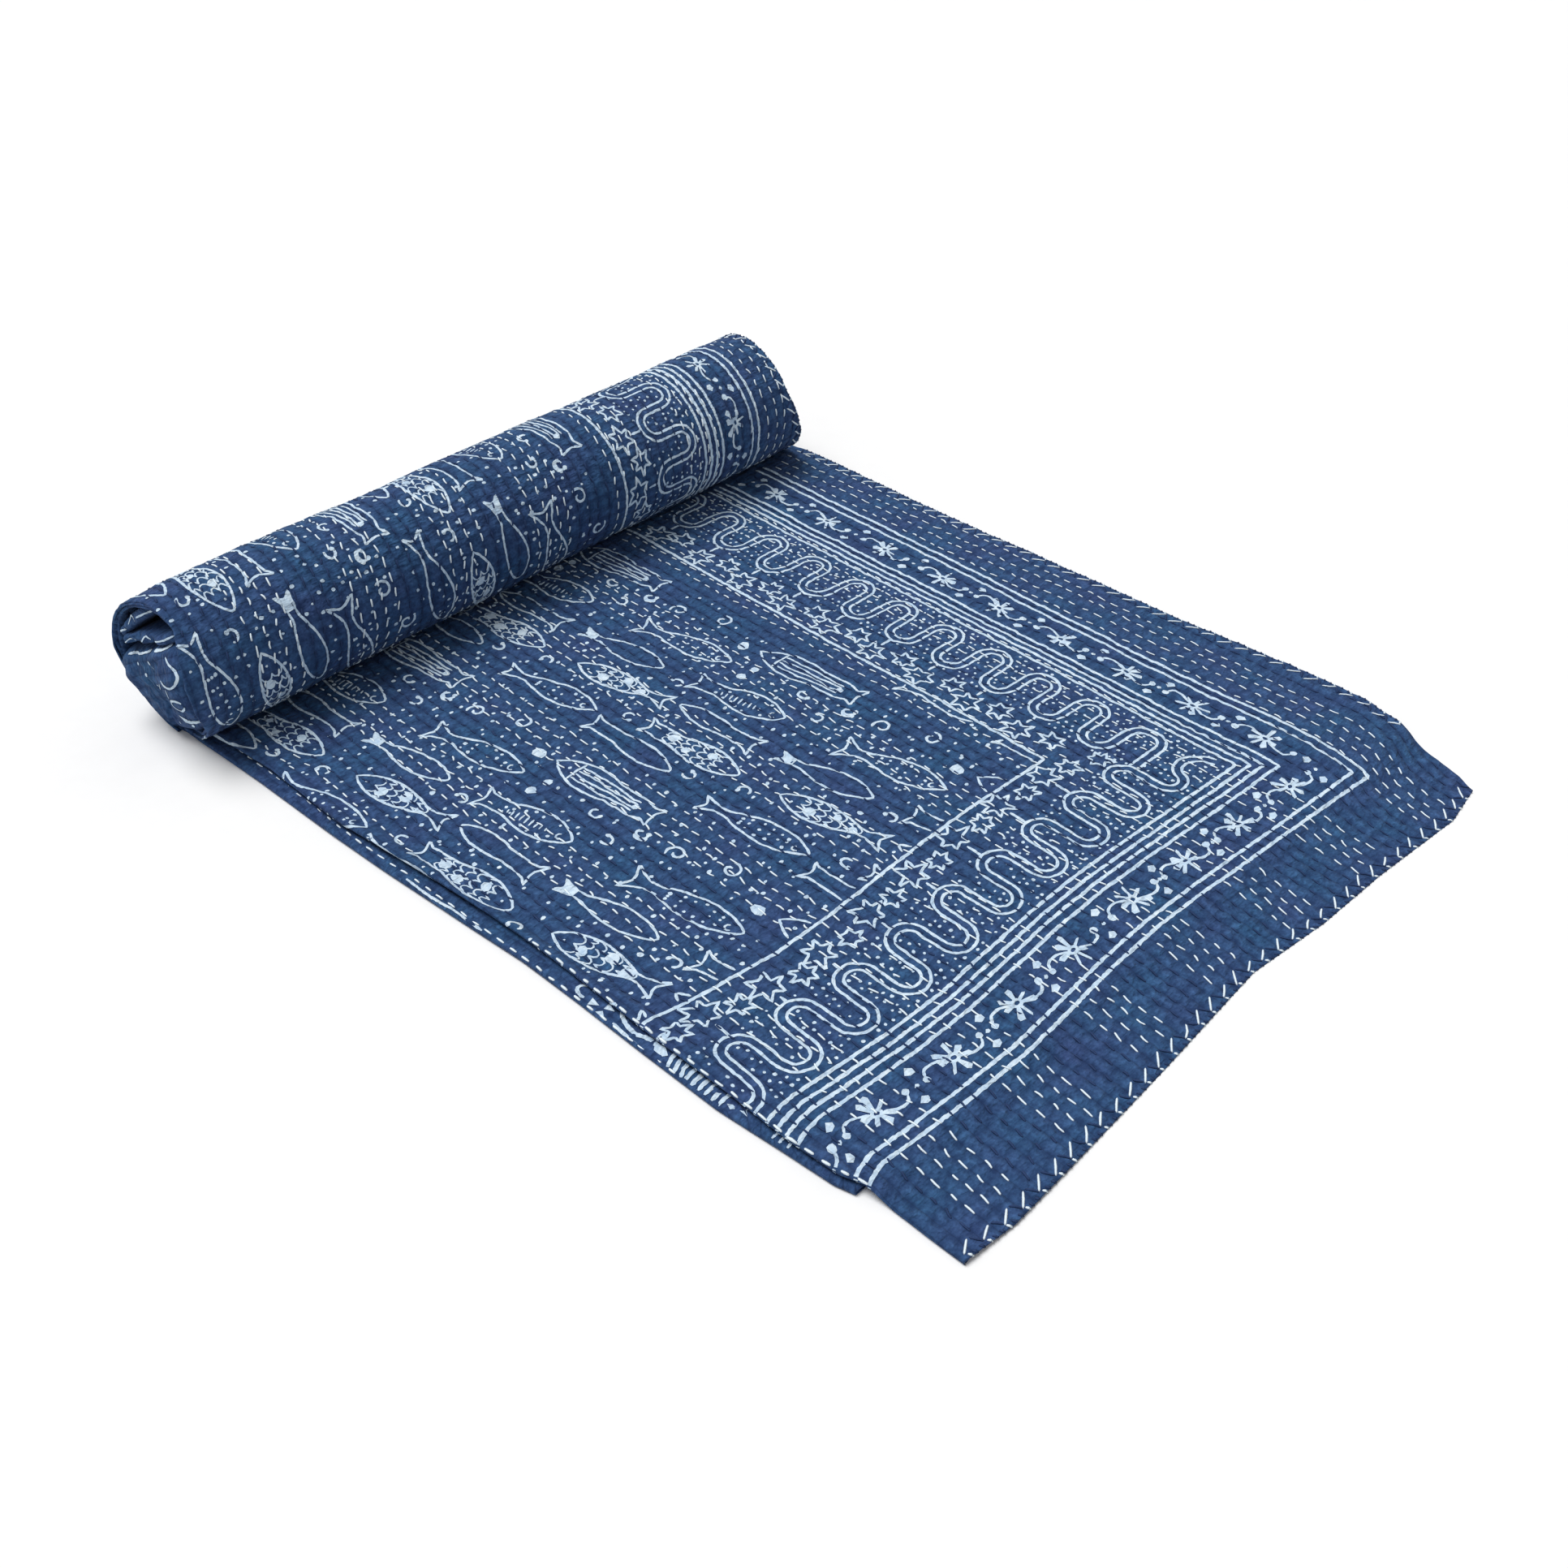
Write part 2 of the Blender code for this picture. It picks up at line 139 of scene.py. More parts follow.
@dataclass(frozen=True)
class Cloth:
    """The quilted cloth: two thin cottons, stitched through in rows."""

    thickness: float = 1.1 * MM
    row_spacing: float = ROW
    row_offset: float = 0.0
    edge_bulge: float = 0.55 * LOOP  # how far the rows beside the right edge bulge with it
    edge_fan: float = 0.22  # and how much they spread
    stitch_pitch: float = 0.243 * LOOP  # from one stitch to the next in a row
    stitch_share: float = 0.64  # share of the pitch that the thread shows
    pucker: float = 0.5 * MM  # how deep a stitch pulls the cloth in
    pucker_width: float = 2.1 * MM
    ripple: float = 0.5 * MM  # small puffs between the stitches
    wave: float = 0.45 * MM  # broad unevenness of the cloth
    noise: Unevenness = Unevenness(11)

    def row_x(self, row: Array, y: Array) -> Array:
        """Where a row of stitches runs; rows wander a little.

        Args:
            row: Number of the row, counted from the border's corner.
            y: Places along the row.

        Returns:
            The row's x at each place.
        """
        wander = self.noise.at(y / 0.085 + row * 3.7, row * 0.61 + 7.0)
        even = row * self.row_spacing + self.row_offset
        return even + self.edge_shift(even, y) + 1.1 * MM * wander

    def edge_shift(self, even: Array, y: Array) -> Array:
        """How far the rows beside the right edge follow its bulge.

        Args:
            even: The row's x if it were straight.
            y: Places along the row.

        Returns:
            The shift.
        """
        along = eased((y / LOOP + 1.0) / 2.0)
        fan = self.edge_fan * np.maximum(even + 0.41 * LOOP, 0.0)
        return along * (self.edge_bulge * eased((even / LOOP + 1.7) / 1.3) + fan)

    def straight(self, x: Array, y: Array) -> Array:
        """Places across the rows with the edge's bulge taken out."""
        first = x - self.edge_shift(x, y)
        return x - self.edge_shift(first, y)

    def row_phase(self, row: Array, y: Array) -> Array:
        """How many stitches a row has made.

        Args:
            row: Number of the row.
            y: Places along the row.

        Returns:
            The count, whole at the start of each stitch.
        """
        pace = 1.0 + 0.05 * self.noise.at(row * 1.9, 40.0)
        drift = 0.35 * self.noise.at(y / 0.05 + row * 5.3, 21.0)
        return y / (self.stitch_pitch * pace) + 13.7 * self.noise.at(row * 2.3, 3.0) + drift

    def even(self, x: Array, y: Array) -> Array:
        """Where places would lie if the rows of stitches ran straight and a ROW apart.

        Args:
            x: Places across the rows.
            y: Places along them.

        Returns:
            The places across; each row lies at a whole multiple of ROW.
        """
        row = np.floor((self.straight(x, y) - self.row_offset) / self.row_spacing)
        low, high = self.row_x(row, y), self.row_x(row + 1.0, y)
        return ROW * (row + np.clip((x - low) / (high - low), -0.2, 1.2))

    def relief(self, x: Array, y: Array) -> Array:
        """Height of the puckered face above the smooth sheet.

        Args:
            x: Places across the rows.
            y: Places along them.

        Returns:
            The height.
        """
        row = np.round((self.straight(x, y) - self.row_offset) / self.row_spacing)
        aside = (x - self.row_x(row, y)) / self.pucker_width
        along = np.cos(2.0 * math.pi * (self.row_phase(row, y) - 0.5 * self.stitch_share))
        groove = -self.pucker * np.exp(-aside * aside) * (0.55 + 0.45 * along)
        puffs = self.ripple * self.noise.at(x / (11 * MM) + 5.0, y / (5.6 * MM))
        puffs = puffs + 0.4 * self.ripple * self.noise.at(x / (5.0 * MM), y / (4.2 * MM) + 9.0)
        waves = self.wave * self.noise.at(x / 0.055 + 3.0, y / 0.038 + 1.0)
        waves = waves + 0.5 * self.wave * self.noise.at(x / 0.024, y / 0.021)
        return groove + puffs + waves


@dataclass(frozen=True)
class Packet:
    """The flat stretch of the folded quilt: four layers, joined by three long folds."""

    layers: int = 4
    pitch: float = 1.8 * MM  # from one layer to the next where they lie flat
    puff: float = 0.8 * MM  # how much further apart they are beside the left folds
    puff_width: float = 12 * MM
    wound_pitch: float = 1.35 * MM  # from one layer to the next in the roll
    settle_start: float = 45 * MM  # they close up over this stretch before the roll
    settle_end: float = 8 * MM
    drop_length: float = 22 * MM  # a layer comes down to the ground over this length
    axis_y: float = 0.6102  # where the packet meets the roll's foot
    axis_yaw: float = math.radians(3.16)
    yaw_x: float = -0.23
    edges: Profile = Profile(
        ("y", "top_edge", "left_fold", "right_fold", "low_fold", "low_edge"),
        (
            (-0.066, 0.035, -0.4955, 0.06, -0.504, 0.054),
            (-0.054, 0.0385, -0.496, 0.06, -0.5025, 0.054),
            (-0.043, 0.0446, -0.4965, 0.06, -0.502, 0.054),
            (-0.028, 0.0495, -0.4968, 0.06, -0.502, 0.054),
            (-0.014, 0.0535, -0.4973, 0.06, -0.502, 0.054),
            (0.001, 0.0582, -0.499, 0.06, -0.5035, 0.054),
            (0.014, 0.064, -0.504, 0.062, -0.5075, 0.0545),
            (0.046, 0.0714, -0.5072, 0.068, -0.5111, 0.055),
            (0.092, 0.0704, -0.5081, 0.0675, -0.5169, 0.055),
            (0.152, 0.0654, -0.5106, 0.0635, -0.5193, 0.055),
            (0.207, 0.0612, -0.5115, 0.0598, -0.5209, 0.0545),
            (0.253, 0.0592, -0.5129, 0.0578, -0.523, 0.054),
            (0.294, 0.057, -0.516, 0.0556, -0.5276, 0.053),
            (0.377, 0.0535, -0.527, 0.052, -0.5363, 0.05),
            (0.43, 0.0512, -0.5345, 0.0498, -0.5407, 0.048),
            (0.51, 0.0515, -0.5364, 0.0495, -0.5454, 0.047),
            (0.575, 0.05, -0.544, 0.048, -0.5512, 0.045),
            (0.64, 0.045, -0.55, 0.043, -0.555, 0.04),
        ),
    )
    top_near: Profile = Profile(
        ("across", "y"),
        ((0.0, -0.056), (0.07, -0.0625), (0.23, -0.0572), (0.35, -0.0562), (0.48, -0.05),
         (0.67, -0.0582), (0.85, -0.0645), (0.93, -0.067), (1.0, -0.0645)),
    )
    low_near: Profile = Profile(
        ("layer", "right", "left"),
        ((2, 0.01, -0.0644), (3, 0.01, 0.002), (4, 0.006, 0.002)),
    )
    swells: tuple[tuple[float, ...], ...] = (  # x, y, half width, half length, height
        (-0.525, 0.4, 0.01, 0.13, 0.0022),
        (-0.5, 0.14, 0.009, 0.06, 0.0014),
        (-0.33, 0.4, 0.07, 0.11, 0.0014),
        (-0.12, 0.18, 0.09, 0.12, 0.0012),
        (0.03, 0.33, 0.02, 0.16, 0.0014),
    )
    swell_shares: tuple[float, ...] = (1.0, 0.6, 0.3, 0.0)
    trough_shares: tuple[float, ...] = (1.0, 0.8, 0.5, 0.0)
    troughs: tuple[tuple[float, ...], ...] = (  # x, y at each end, half width, depth; top layer
        (-0.522, 0.43, -0.508, 0.3, 0.0065, 0.0016),
        (-0.508, 0.3, -0.496, 0.18, 0.0065, 0.0018),
        (0.045, 0.06, 0.038, 0.33, 0.006, 0.0008),
    )
    trough_end: float = 0.018  # length over which a trough dies out
    cloth: Cloth = Cloth()

    def edge(self, name: str, y: Array) -> Array:
        """X of one of the long edges or folds at places along Y."""
        return self.edges.at(name, y)

    def roll_y(self, x: Array) -> Array:
        """Where the roll's axis lies along Y, at places along X."""
        return self.axis_y + (x - self.yaw_x) * math.tan(self.axis_yaw)

    def across(self, x: Array, y: Array) -> Array:
        """The share of the way from the right long edge to the left fold."""
        right, left = self.edge("top_edge", y), self.edge("left_fold", y)
        return np.clip((right - x) / (right - left), 0.0, 1.0)

    def near_edge(self, layer: int, across: Array) -> Array:
        """Y of a layer's near edge.

        Args:
            layer: Number of the layer, 1 on top.
            across: 0 at the right end, 1 at the left.

        Returns:
            The edge's y at each place.
        """
        if layer == 1:
            return self.top_near.at("y", across)
        right, left = self.low_near.at("right", layer), self.low_near.at("left", layer)
        return right + (left - right) * across

    def layer_pitch(self, x: Array, y: Array) -> Array:
        """From one layer to the next, with the air beside the left folds, closer by the roll.

        Args:
            x: Places along the roll.
            y: Places towards it.

        Returns:
            The pitch.
        """
        inset = (x - self.edge("left_fold", y)) / self.puff_width
        loose = self.pitch + self.puff * np.exp(-inset * inset)
        before = self.roll_y(x) - y
        closed = eased((self.settle_start - before) / (self.settle_start - self.settle_end))
        return loose + (self.wound_pitch - loose) * closed

    def fall(self, layer: int, x: Array, y: Array) -> Array:
        """How far a layer sinks where the layers under it have ended.

        Args:
            layer: Number of the layer.
            x: Places along the roll.
            y: Places towards it.

        Returns:
            The fall.
        """
        pitch, across = self.layer_pitch(x, y), self.across(x, y)
        fall = np.zeros_like(y)
        for under, missing in ((3, 2), (2, 1)):
            if layer < under:
                beyond = y - self.near_edge(under, across) + self.drop_length
                fall = fall + missing * pitch * (1.0 - eased(beyond / self.drop_length))
        return fall

    def lift(self, layer: int, x: Array, y: Array) -> Array:
        """The soft swells that raise a layer, and the troughs beside them.

        Args:
            layer: Number of the layer.
            x: Places along the roll.
            y: Places towards it.

        Returns:
            The lift.
        """
        rise = np.zeros_like(x)
        for place_x, place_y, half_width, half_length, height in self.swells:
            aside = ((x - place_x) / half_width) ** 2 + ((y - place_y) / half_length) ** 2
            rise = rise + height * np.exp(-0.5 * aside)
        rise = rise * self.swell_shares[layer - 1]
        for x0, y0, x1, y1, half_width, depth in self.troughs:
            share = np.clip((y - y0) / (y1 - y0), 0.0, 1.0)
            beyond = np.maximum(np.abs(y - 0.5 * (y0 + y1)) - 0.5 * abs(y1 - y0), 0.0)
            aside = (x - x0 - share * (x1 - x0)) / half_width
            dip = depth * np.exp(-aside * aside - (beyond / self.trough_end) ** 2)
            rise = rise - self.trough_shares[layer - 1] * dip
        return rise

    def height(self, layer: int, x: Array, y: Array) -> Array:
        """Height of a layer's middle above the ground."""
        stack = (self.layers - layer) * self.layer_pitch(x, y) + 0.5 * self.cloth.thickness
        return stack - self.fall(layer, x, y) + self.lift(layer, x, y)


@dataclass(frozen=True)
class Roll:
    """The wound part of the packet: a spiral that starts at its foot and winds inwards."""

    packet: Packet
    radius: float = 54.5 * MM  # mean radius of the outermost turn's outside
    press: float = 1.5 * MM  # how far its front bulges down onto the flat stretch
    flat: float = 0.5 * MM  # how far the weight flattens the underside
    turns: float = 9.2
    girth: Profile = Profile(
        ("x", "share"),
        ((-0.565, 0.955), (-0.535, 0.978), (-0.35, 0.982), (-0.15, 0.99), (0.0, 1.0)),
    )
    left_rim: Profile = Profile(
        ("angle", "x"),
        ((0, -0.556), (90, -0.567), (140, -0.563), (180, -0.556), (210, -0.5545), (232, -0.562),
         (254, -0.566), (276, -0.564), (308, -0.555), (360, -0.552)),
    )
    right_rim: Profile = Profile(
        ("angle", "x"),
        ((0, 0.043), (60, 0.038), (90, 0.031), (130, 0.019), (161, 0.0125), (200, 0.0092),
         (244, 0.0105), (278, 0.0216), (290, 0.0275), (310, 0.0327), (345, 0.042), (360, 0.043)),
    )
    left_middle: float = -0.5615
    right_middle: float = 0.029
    hollow: float = 24.0 * MM  # how far the inner turns lie behind the rim
    hollow_start: float = 6.1  # radians wound where they start to draw back
    hollow_turn: float = 0.9
    loose: float = 2.2 * MM  # how far the inner turns stand apart by the left end
    noise: Unevenness = Unevenness(23)

    @property
    def turn_pitch(self) -> float:
        """From one turn to the next."""
        return self.packet.layers * self.packet.wound_pitch

    def outside(self, angle: Array) -> Array:
        """Radius of the packet's outside.

        Args:
            angle: Radians wound, 0 at the foot, growing over the back and the top.

        Returns:
            The radius at each angle.
        """
        wound = angle / (2.0 * math.pi)
        bulge = self.press * eased(2.0 * wound - 1.0) * (1.0 - eased((wound - 0.93) / 0.07))
        return self.radius + self.turn_pitch * (0.5 - wound) + bulge

    def point(self, x: Array, angle: Array, depth: Array) -> Array:
        """Points in the roll.

        Args:
            x: Places along the roll.
            angle: Radians wound from the foot.
            depth: How far inside the packet's outside they lie; below 0 outside it.

        Returns:
            The points, one row each.
        """
        girth = self.girth.at("share", x)
        reach = self.outside(angle) - depth + self.crumple(x, angle)
        y = self.packet.roll_y(x) + girth * reach * np.sin(angle)
        z = girth * (self.outside(0.0) - reach * np.cos(angle)) - self.flat
        return np.stack(np.broadcast_arrays(x, y, np.maximum(z, 0.0)), -1)

    def crumple(self, x: Array, angle: Array) -> Array:
        """Uneven bulging of all turns together, strongest by the left end.

        Args:
            x: Places along the roll.
            angle: Radians wound.

        Returns:
            How far the turns stand out.
        """
        turned = (angle / (2.0 * math.pi)) % 1.0
        by_end = 1.0 - eased((x - self.left_middle) / 0.035)
        around = self.noise.at(turned * 8.0, x / 0.045)
        apart = self.loose * by_end * eased((angle - 5.6) / 1.2) * self.noise.at(angle / 0.9, 17.5)
        return 0.8 * MM * around * (1.0 - np.cos(2.0 * math.pi * turned)) * 0.5 \
            + 1.6 * MM * by_end * self.noise.at(turned * 8.0 + 3.0, 5.0 + x / 0.03) \
            * np.sin(math.pi * turned) ** 2 + apart

    def rim(self, side: Profile, middle: float, angle: Array) -> Array:
        """X of the cloth's ends on one side; the inner turns lie nearer to the side's middle."""
        share = np.clip(self.outside(angle) / self.radius, 0.0, 1.1)
        return middle + (side.at("x", np.degrees(angle) % 360.0) - middle) * share

    def left_end(self, angle: Array) -> Array:
        """X of the folds at the left end, for each turn."""
        hollow = self.hollow * eased((angle - self.hollow_start) / self.hollow_turn)
        return self.rim(self.left_rim, self.left_middle, angle) + hollow

    def right_end(self, angle: Array) -> Array:
        """X of the edges at the right end, for each turn."""
        return self.rim(self.right_rim, self.right_middle, angle)


def wrap(over: Array, bend: Array) -> tuple[Array, Array, Array]:
    """How far out, down and back underneath a sheet lies, so far past the start of a fold."""
    turned = np.clip(over / bend, 0.0, math.pi)
    return bend * np.sin(turned), bend * (1.0 - np.cos(turned)), np.maximum(over - math.pi * bend, 0.0)


def round_edges(x: Array, left: Array, right: Array, bend: Array, hem: float) -> tuple[Array, Array]:
    """Takes places round a sheet's left fold and its right hem.

    Args:
        x: Places across the sheet.
        left: X of its left fold.
        right: X of its right end.
        bend: The fold's radius.
        hem: The hem's radius.

    Returns:
        Their x, and how far down they lie.
    """
    start, end = left + bend, right - hem
    out_left, down_left, back_left = wrap(start - x, bend)
    out_right, down_right, back_right = wrap(x - end, hem)
    new_x = np.clip(x, start, end) - out_left + back_left + out_right - back_right
    return new_x, np.maximum(down_left, down_right)


@dataclass(frozen=True)
class FlatFace:
    """The upper face of a flat layer, from its hems to the far side of its left fold."""

    packet: Packet
    layer: int = 1
    fold: str = "left_fold"
    strip: float = 0.0  # where above 0, how far inside the fold the face ends
    hem: float = 0.7 * MM  # radius of the turned edge

    @property
    def cloth(self) -> Cloth:
        """The cloth, with its rows of stitches."""
        return self.packet.cloth

    def left(self, y: Array) -> Array:
        """X of its left fold."""
        return self.packet.edge(self.fold, y)

    def right(self, y: Array) -> Array:
        """X of its right end."""
        return self.left(y) + self.strip if self.strip else self.packet.edge("top_edge", y)

    def near(self, x: Array, y: Array) -> Array:
        """Y of its near edge."""
        return self.packet.near_edge(self.layer, self.packet.across(x, y))

    def bend(self, y: Array) -> Array:
        """Radius of its left fold, outside."""
        return 0.5 * (self.packet.layer_pitch(self.left(y), y) + self.packet.cloth.thickness)

    def shown(self, x: Array, y: Array) -> Array:
        """Whether the running rows may lie at places on the cloth."""
        return (x > self.left(y) + 9 * MM) & (x < self.right(y) - 5 * MM) & (y > self.near(x, y) + 8 * MM)

    def place(self, x: Array, y: Array) -> Array:
        """Where places on the cloth lie.

        Args:
            x: Places across it; past the edges they go round them.
            y: Places along it.

        Returns:
            The points, one row each.
        """
        x, y = np.broadcast_arrays(np.asarray(x, float), np.asarray(y, float))
        packet, near = self.packet, self.near(x, y) + self.hem
        new_x, down = round_edges(x, self.left(y), self.right(y), self.bend(y), self.hem)
        out_near, down_near, back_near = wrap(near - y, self.hem)
        new_y = np.maximum(y, near) - out_near + back_near
        down = np.maximum(down, down_near)
        relief = packet.cloth.relief(x, y) * np.exp(-down / EDGE_FADE)
        z = packet.height(self.layer, new_x, new_y) + 0.5 * packet.cloth.thickness + relief - down
        return np.stack((new_x, new_y, np.maximum(z, GROUND_GAP)), -1)


@dataclass(frozen=True)
class RollFace:
    """The face of the bottom layer's outermost turn, the outside of the roll."""

    roll: Roll
    hem: float = 0.7 * MM
    print_angle: float = math.radians(220.0)  # where the print's reference line lies
    print_y: float = 6.45 * LOOP
    print_x: float = -0.6  # how far it lies to the right of the flat one's, in loops
    print_radius: float = 54.4 * MM
    cloth: Cloth = Cloth(row_spacing=0.2192 * LOOP, row_offset=-0.16 * LOOP, edge_bulge=0.0,
                         edge_fan=0.0)

    def angle(self, y: Array) -> Array:
        """Radians wound at a place along the print."""
        return self.print_angle - (y - self.print_y) / self.print_radius

    def along(self, angle: Array) -> Array:
        """Place along the print at an angle wound."""
        return self.print_y + (self.print_angle - angle) * self.print_radius

    def shown(self, x: Array, y: Array) -> Array:
        """Whether the running rows may lie at places on the cloth."""
        angle = self.angle(y)
        return (x > self.roll.left_end(angle) + 3 * MM) & (x < self.roll.right_end(angle) - 6 * MM)

    def place(self, x: Array, y: Array) -> Array:
        """Where places on the cloth lie.

        Args:
            x: Places across it; past the edges they go round them.
            y: Places along it.

        Returns:
            The points, one row each.
        """
        x, y = np.broadcast_arrays(np.asarray(x, float), np.asarray(y, float))
        angle = self.angle(y)
        left, right = self.roll.left_end(angle), self.roll.right_end(angle)
        bend = np.full_like(x, 0.5 * (self.roll.packet.wound_pitch + self.cloth.thickness))
        new_x, down = round_edges(x, left, right, bend, self.hem)
        relief = self.cloth.relief(x, y) * np.exp(-down / EDGE_FADE)
        return self.roll.point(new_x, angle, down - relief)


@dataclass(frozen=True)
class TuckedFace:
    """The face of an inner fold that bulges out of the roll's left end, under a slanted slot."""

    roll: Roll
    top: float  # shares of the roll's radius between which it lies
    bottom: float
    reach: float  # how far it stands out past the rim
    rough: float = 1.3 * MM
    outer: float = 0.93
    back: float = 0.0  # how far it lies towards the back, as a share
    waver: float = 0.03  # how far its top edge strays up and down, as a share
    tilt: float = math.radians(27.0)  # how far its top edge rises towards the front
    depth: float = 17 * MM  # how far behind the rim its borders lie
    cloth: Cloth = Cloth(edge_bulge=0.0, edge_fan=0.0)
    spacing: float = 1.4 * MM  # between its points, from the top edge down
    rows: int = 64  # of points, from the back to the front
    noise: Unevenness = Unevenness(41)

    @property
    def width(self) -> float:
        """From its top edge to its bottom one."""
        return (self.top - self.bottom) * self.roll.radius

    @property
    def length(self) -> float:
        """From its back end to its front one, at its longest."""
        return 2.0 * self.outer * self.roll.radius

    def half_chord(self, rise: Array) -> Array:
        """Half its length at a height, as a share of the roll's radius."""
        return np.sqrt(np.maximum(self.outer ** 2 - rise ** 2, 0.02))

    def spots(self, path: Spots) -> Path:
        """Places on the fold, as a print takes them.

        Args:
            path: Places as shares of the roll's radius, towards the front and up.

        Returns:
            The places in loops.
        """
        aside, rise = np.array(path, float).T
        along = 0.5 + 0.5 * (aside + self.back) / self.half_chord(rise)
        return np.stack(((self.top - rise) * self.roll.radius, along * self.length), -1) / LOOP

    def place(self, x: Array, y: Array) -> Array:
        """Where places on the fold's face lie.

        Args:
            x: Places from the top edge down.
            y: Places from the back to the front.

        Returns:
            The points, one row each.
        """
        across, along = np.clip(x / self.width, 0.0, 1.0), np.clip(y / self.length, 0.0, 1.0)
        rise = self.top + (self.bottom - self.top) * across
        aside = (2.0 * along - 1.0) * self.half_chord(rise) - self.back
        stray = self.noise.at(aside * 2.6 + self.top * 7.0, 2.5)
        rise = rise + self.waver * stray * (1.0 - 0.6 * across)
        front = aside * math.cos(self.tilt) - rise * math.sin(self.tilt)
        up = aside * math.sin(self.tilt) + rise * math.cos(self.tilt)
        swell = (1.0 - np.abs(2.0 * along - 1.0) ** 7) * (1.0 - np.abs(2.0 * across - 1.0) ** 9)
        swell = np.maximum(swell, 0.0) ** 0.5
        crease = self.noise.at(front * 2.4 + self.top * 5.0, up * 2.4)
        fine = self.noise.at(front * 7.0, up * 7.0 + self.top * 3.0)
        out = (self.reach + self.depth) * swell - self.depth + self.rough * (1.6 * crease + fine) * swell
        degrees, share = np.degrees(np.arctan2(-front, -up)) % 360.0, np.hypot(front, up)
        new_x = self.roll.left_middle - out \
            + (self.roll.left_rim.at("x", degrees) - self.roll.left_middle) * share
        girth = self.roll.girth.at("share", new_x)
        middle = girth * float(self.roll.outside(0.0)) - self.roll.flat
        reach = self.roll.radius * girth
        return np.stack((new_x, self.roll.packet.roll_y(new_x) - reach * front, middle + reach * up), -1)

    def build(self, name: str, material: Material) -> Object:
        """Makes the fold.

        Args:
            name: Name of the object.
            material: Its finish.

        Returns:
            The object.
        """
        count = max(int(self.width / self.spacing), 12)
        x, y = np.meshgrid(np.linspace(0.0, self.width, count),
                           np.linspace(0.0, self.length, self.rows))
        piece = Piece(name)
        piece.add(self.place(x, y).reshape(-1, 3), grid_faces(*x.shape),
                  np.stack((self.cloth.even(x, y), y), -1).reshape(-1, 2))
        return piece.build(material)


Face = FlatFace | RollFace | TuckedFace


def lifted(face: Face, x: Array, y: Array, lift: Array | float) -> Array:
    """Points a little above a face.

    Args:
        face: The face.
        x: Places across the cloth.
        y: Places along it.
        lift: How far above the face they lie.

    Returns:
        The points, one row each.
    """
    step = 0.4 * MM
    across = face.place(x + step, y) - face.place(x - step, y)
    along = face.place(x, y + step) - face.place(x, y - step)
    return face.place(x, y) + unit(np.cross(across, along)) * np.asarray(lift)[..., None]


@dataclass
class Piece:
    """Collects points and faces, and makes one mesh object of them."""

    name: str
    points: list[Array] = field(default_factory=list)  # from the printed border's corner
    places: list[Array] = field(default_factory=list)  # each point's place on the cloth
    faces: list[Array] = field(default_factory=list)  # point numbers; -1 where a row is shorter
    count: int = 0

    def add(self, points: Array, faces: Array, places: Array) -> None:
        """Adds a shape.

        Args:
            points: Its points.
            faces: Its faces.
            places: Its points' places on the cloth, for the weave.
        """
        self.points.append(points)
        self.places.append(places)
        self.faces.append(np.where(faces < 0, -1, faces + self.count))
        self.count += len(points)

    def build(self, material: Material) -> Object:
        """Makes the object.

        Args:
            material: Its finish.

        Returns:
            The object, linked to the scene.
        """
        points = np.concatenate(self.points) + np.array(CORNER)
        points[:, 2] = np.maximum(points[:, 2], 0.0)
        mesh = bpy.data.meshes.new(self.name)
        mesh.from_pydata(points.tolist(), [],
                         [[int(i) for i in row if i >= 0] for block in self.faces for row in block])
        corners = np.empty(len(mesh.loops), int)
        mesh.loops.foreach_get("vertex_index", corners)
        layer = mesh.uv_layers.new(name="cloth")
        layer.data.foreach_set("uv", np.concatenate(self.places)[corners].ravel())
        mesh.polygons.foreach_set("use_smooth", np.ones(len(mesh.polygons), bool))
        mesh.materials.append(material)
        mesh.validate()
        piece = bpy.data.objects.new(self.name, mesh)
        bpy.context.scene.collection.objects.link(piece)
        return piece


def grid_faces(rows: int, columns: int, keep: Array | None = None) -> Array:
    """The faces of a grid of points.

    Args:
        rows: Number of rows of points.
        columns: Number of points in a row.
        keep: For each face, rows - 1 by columns - 1, whether it is made.

    Returns:
        Four point numbers for each face.
    """
    first = np.arange((rows - 1) * columns).reshape(rows - 1, columns)[:, :-1]
    faces = np.stack((first, first + 1, first + 1 + columns, first + columns), -1)
    return faces[keep] if keep is not None else faces.reshape(-1, 4)


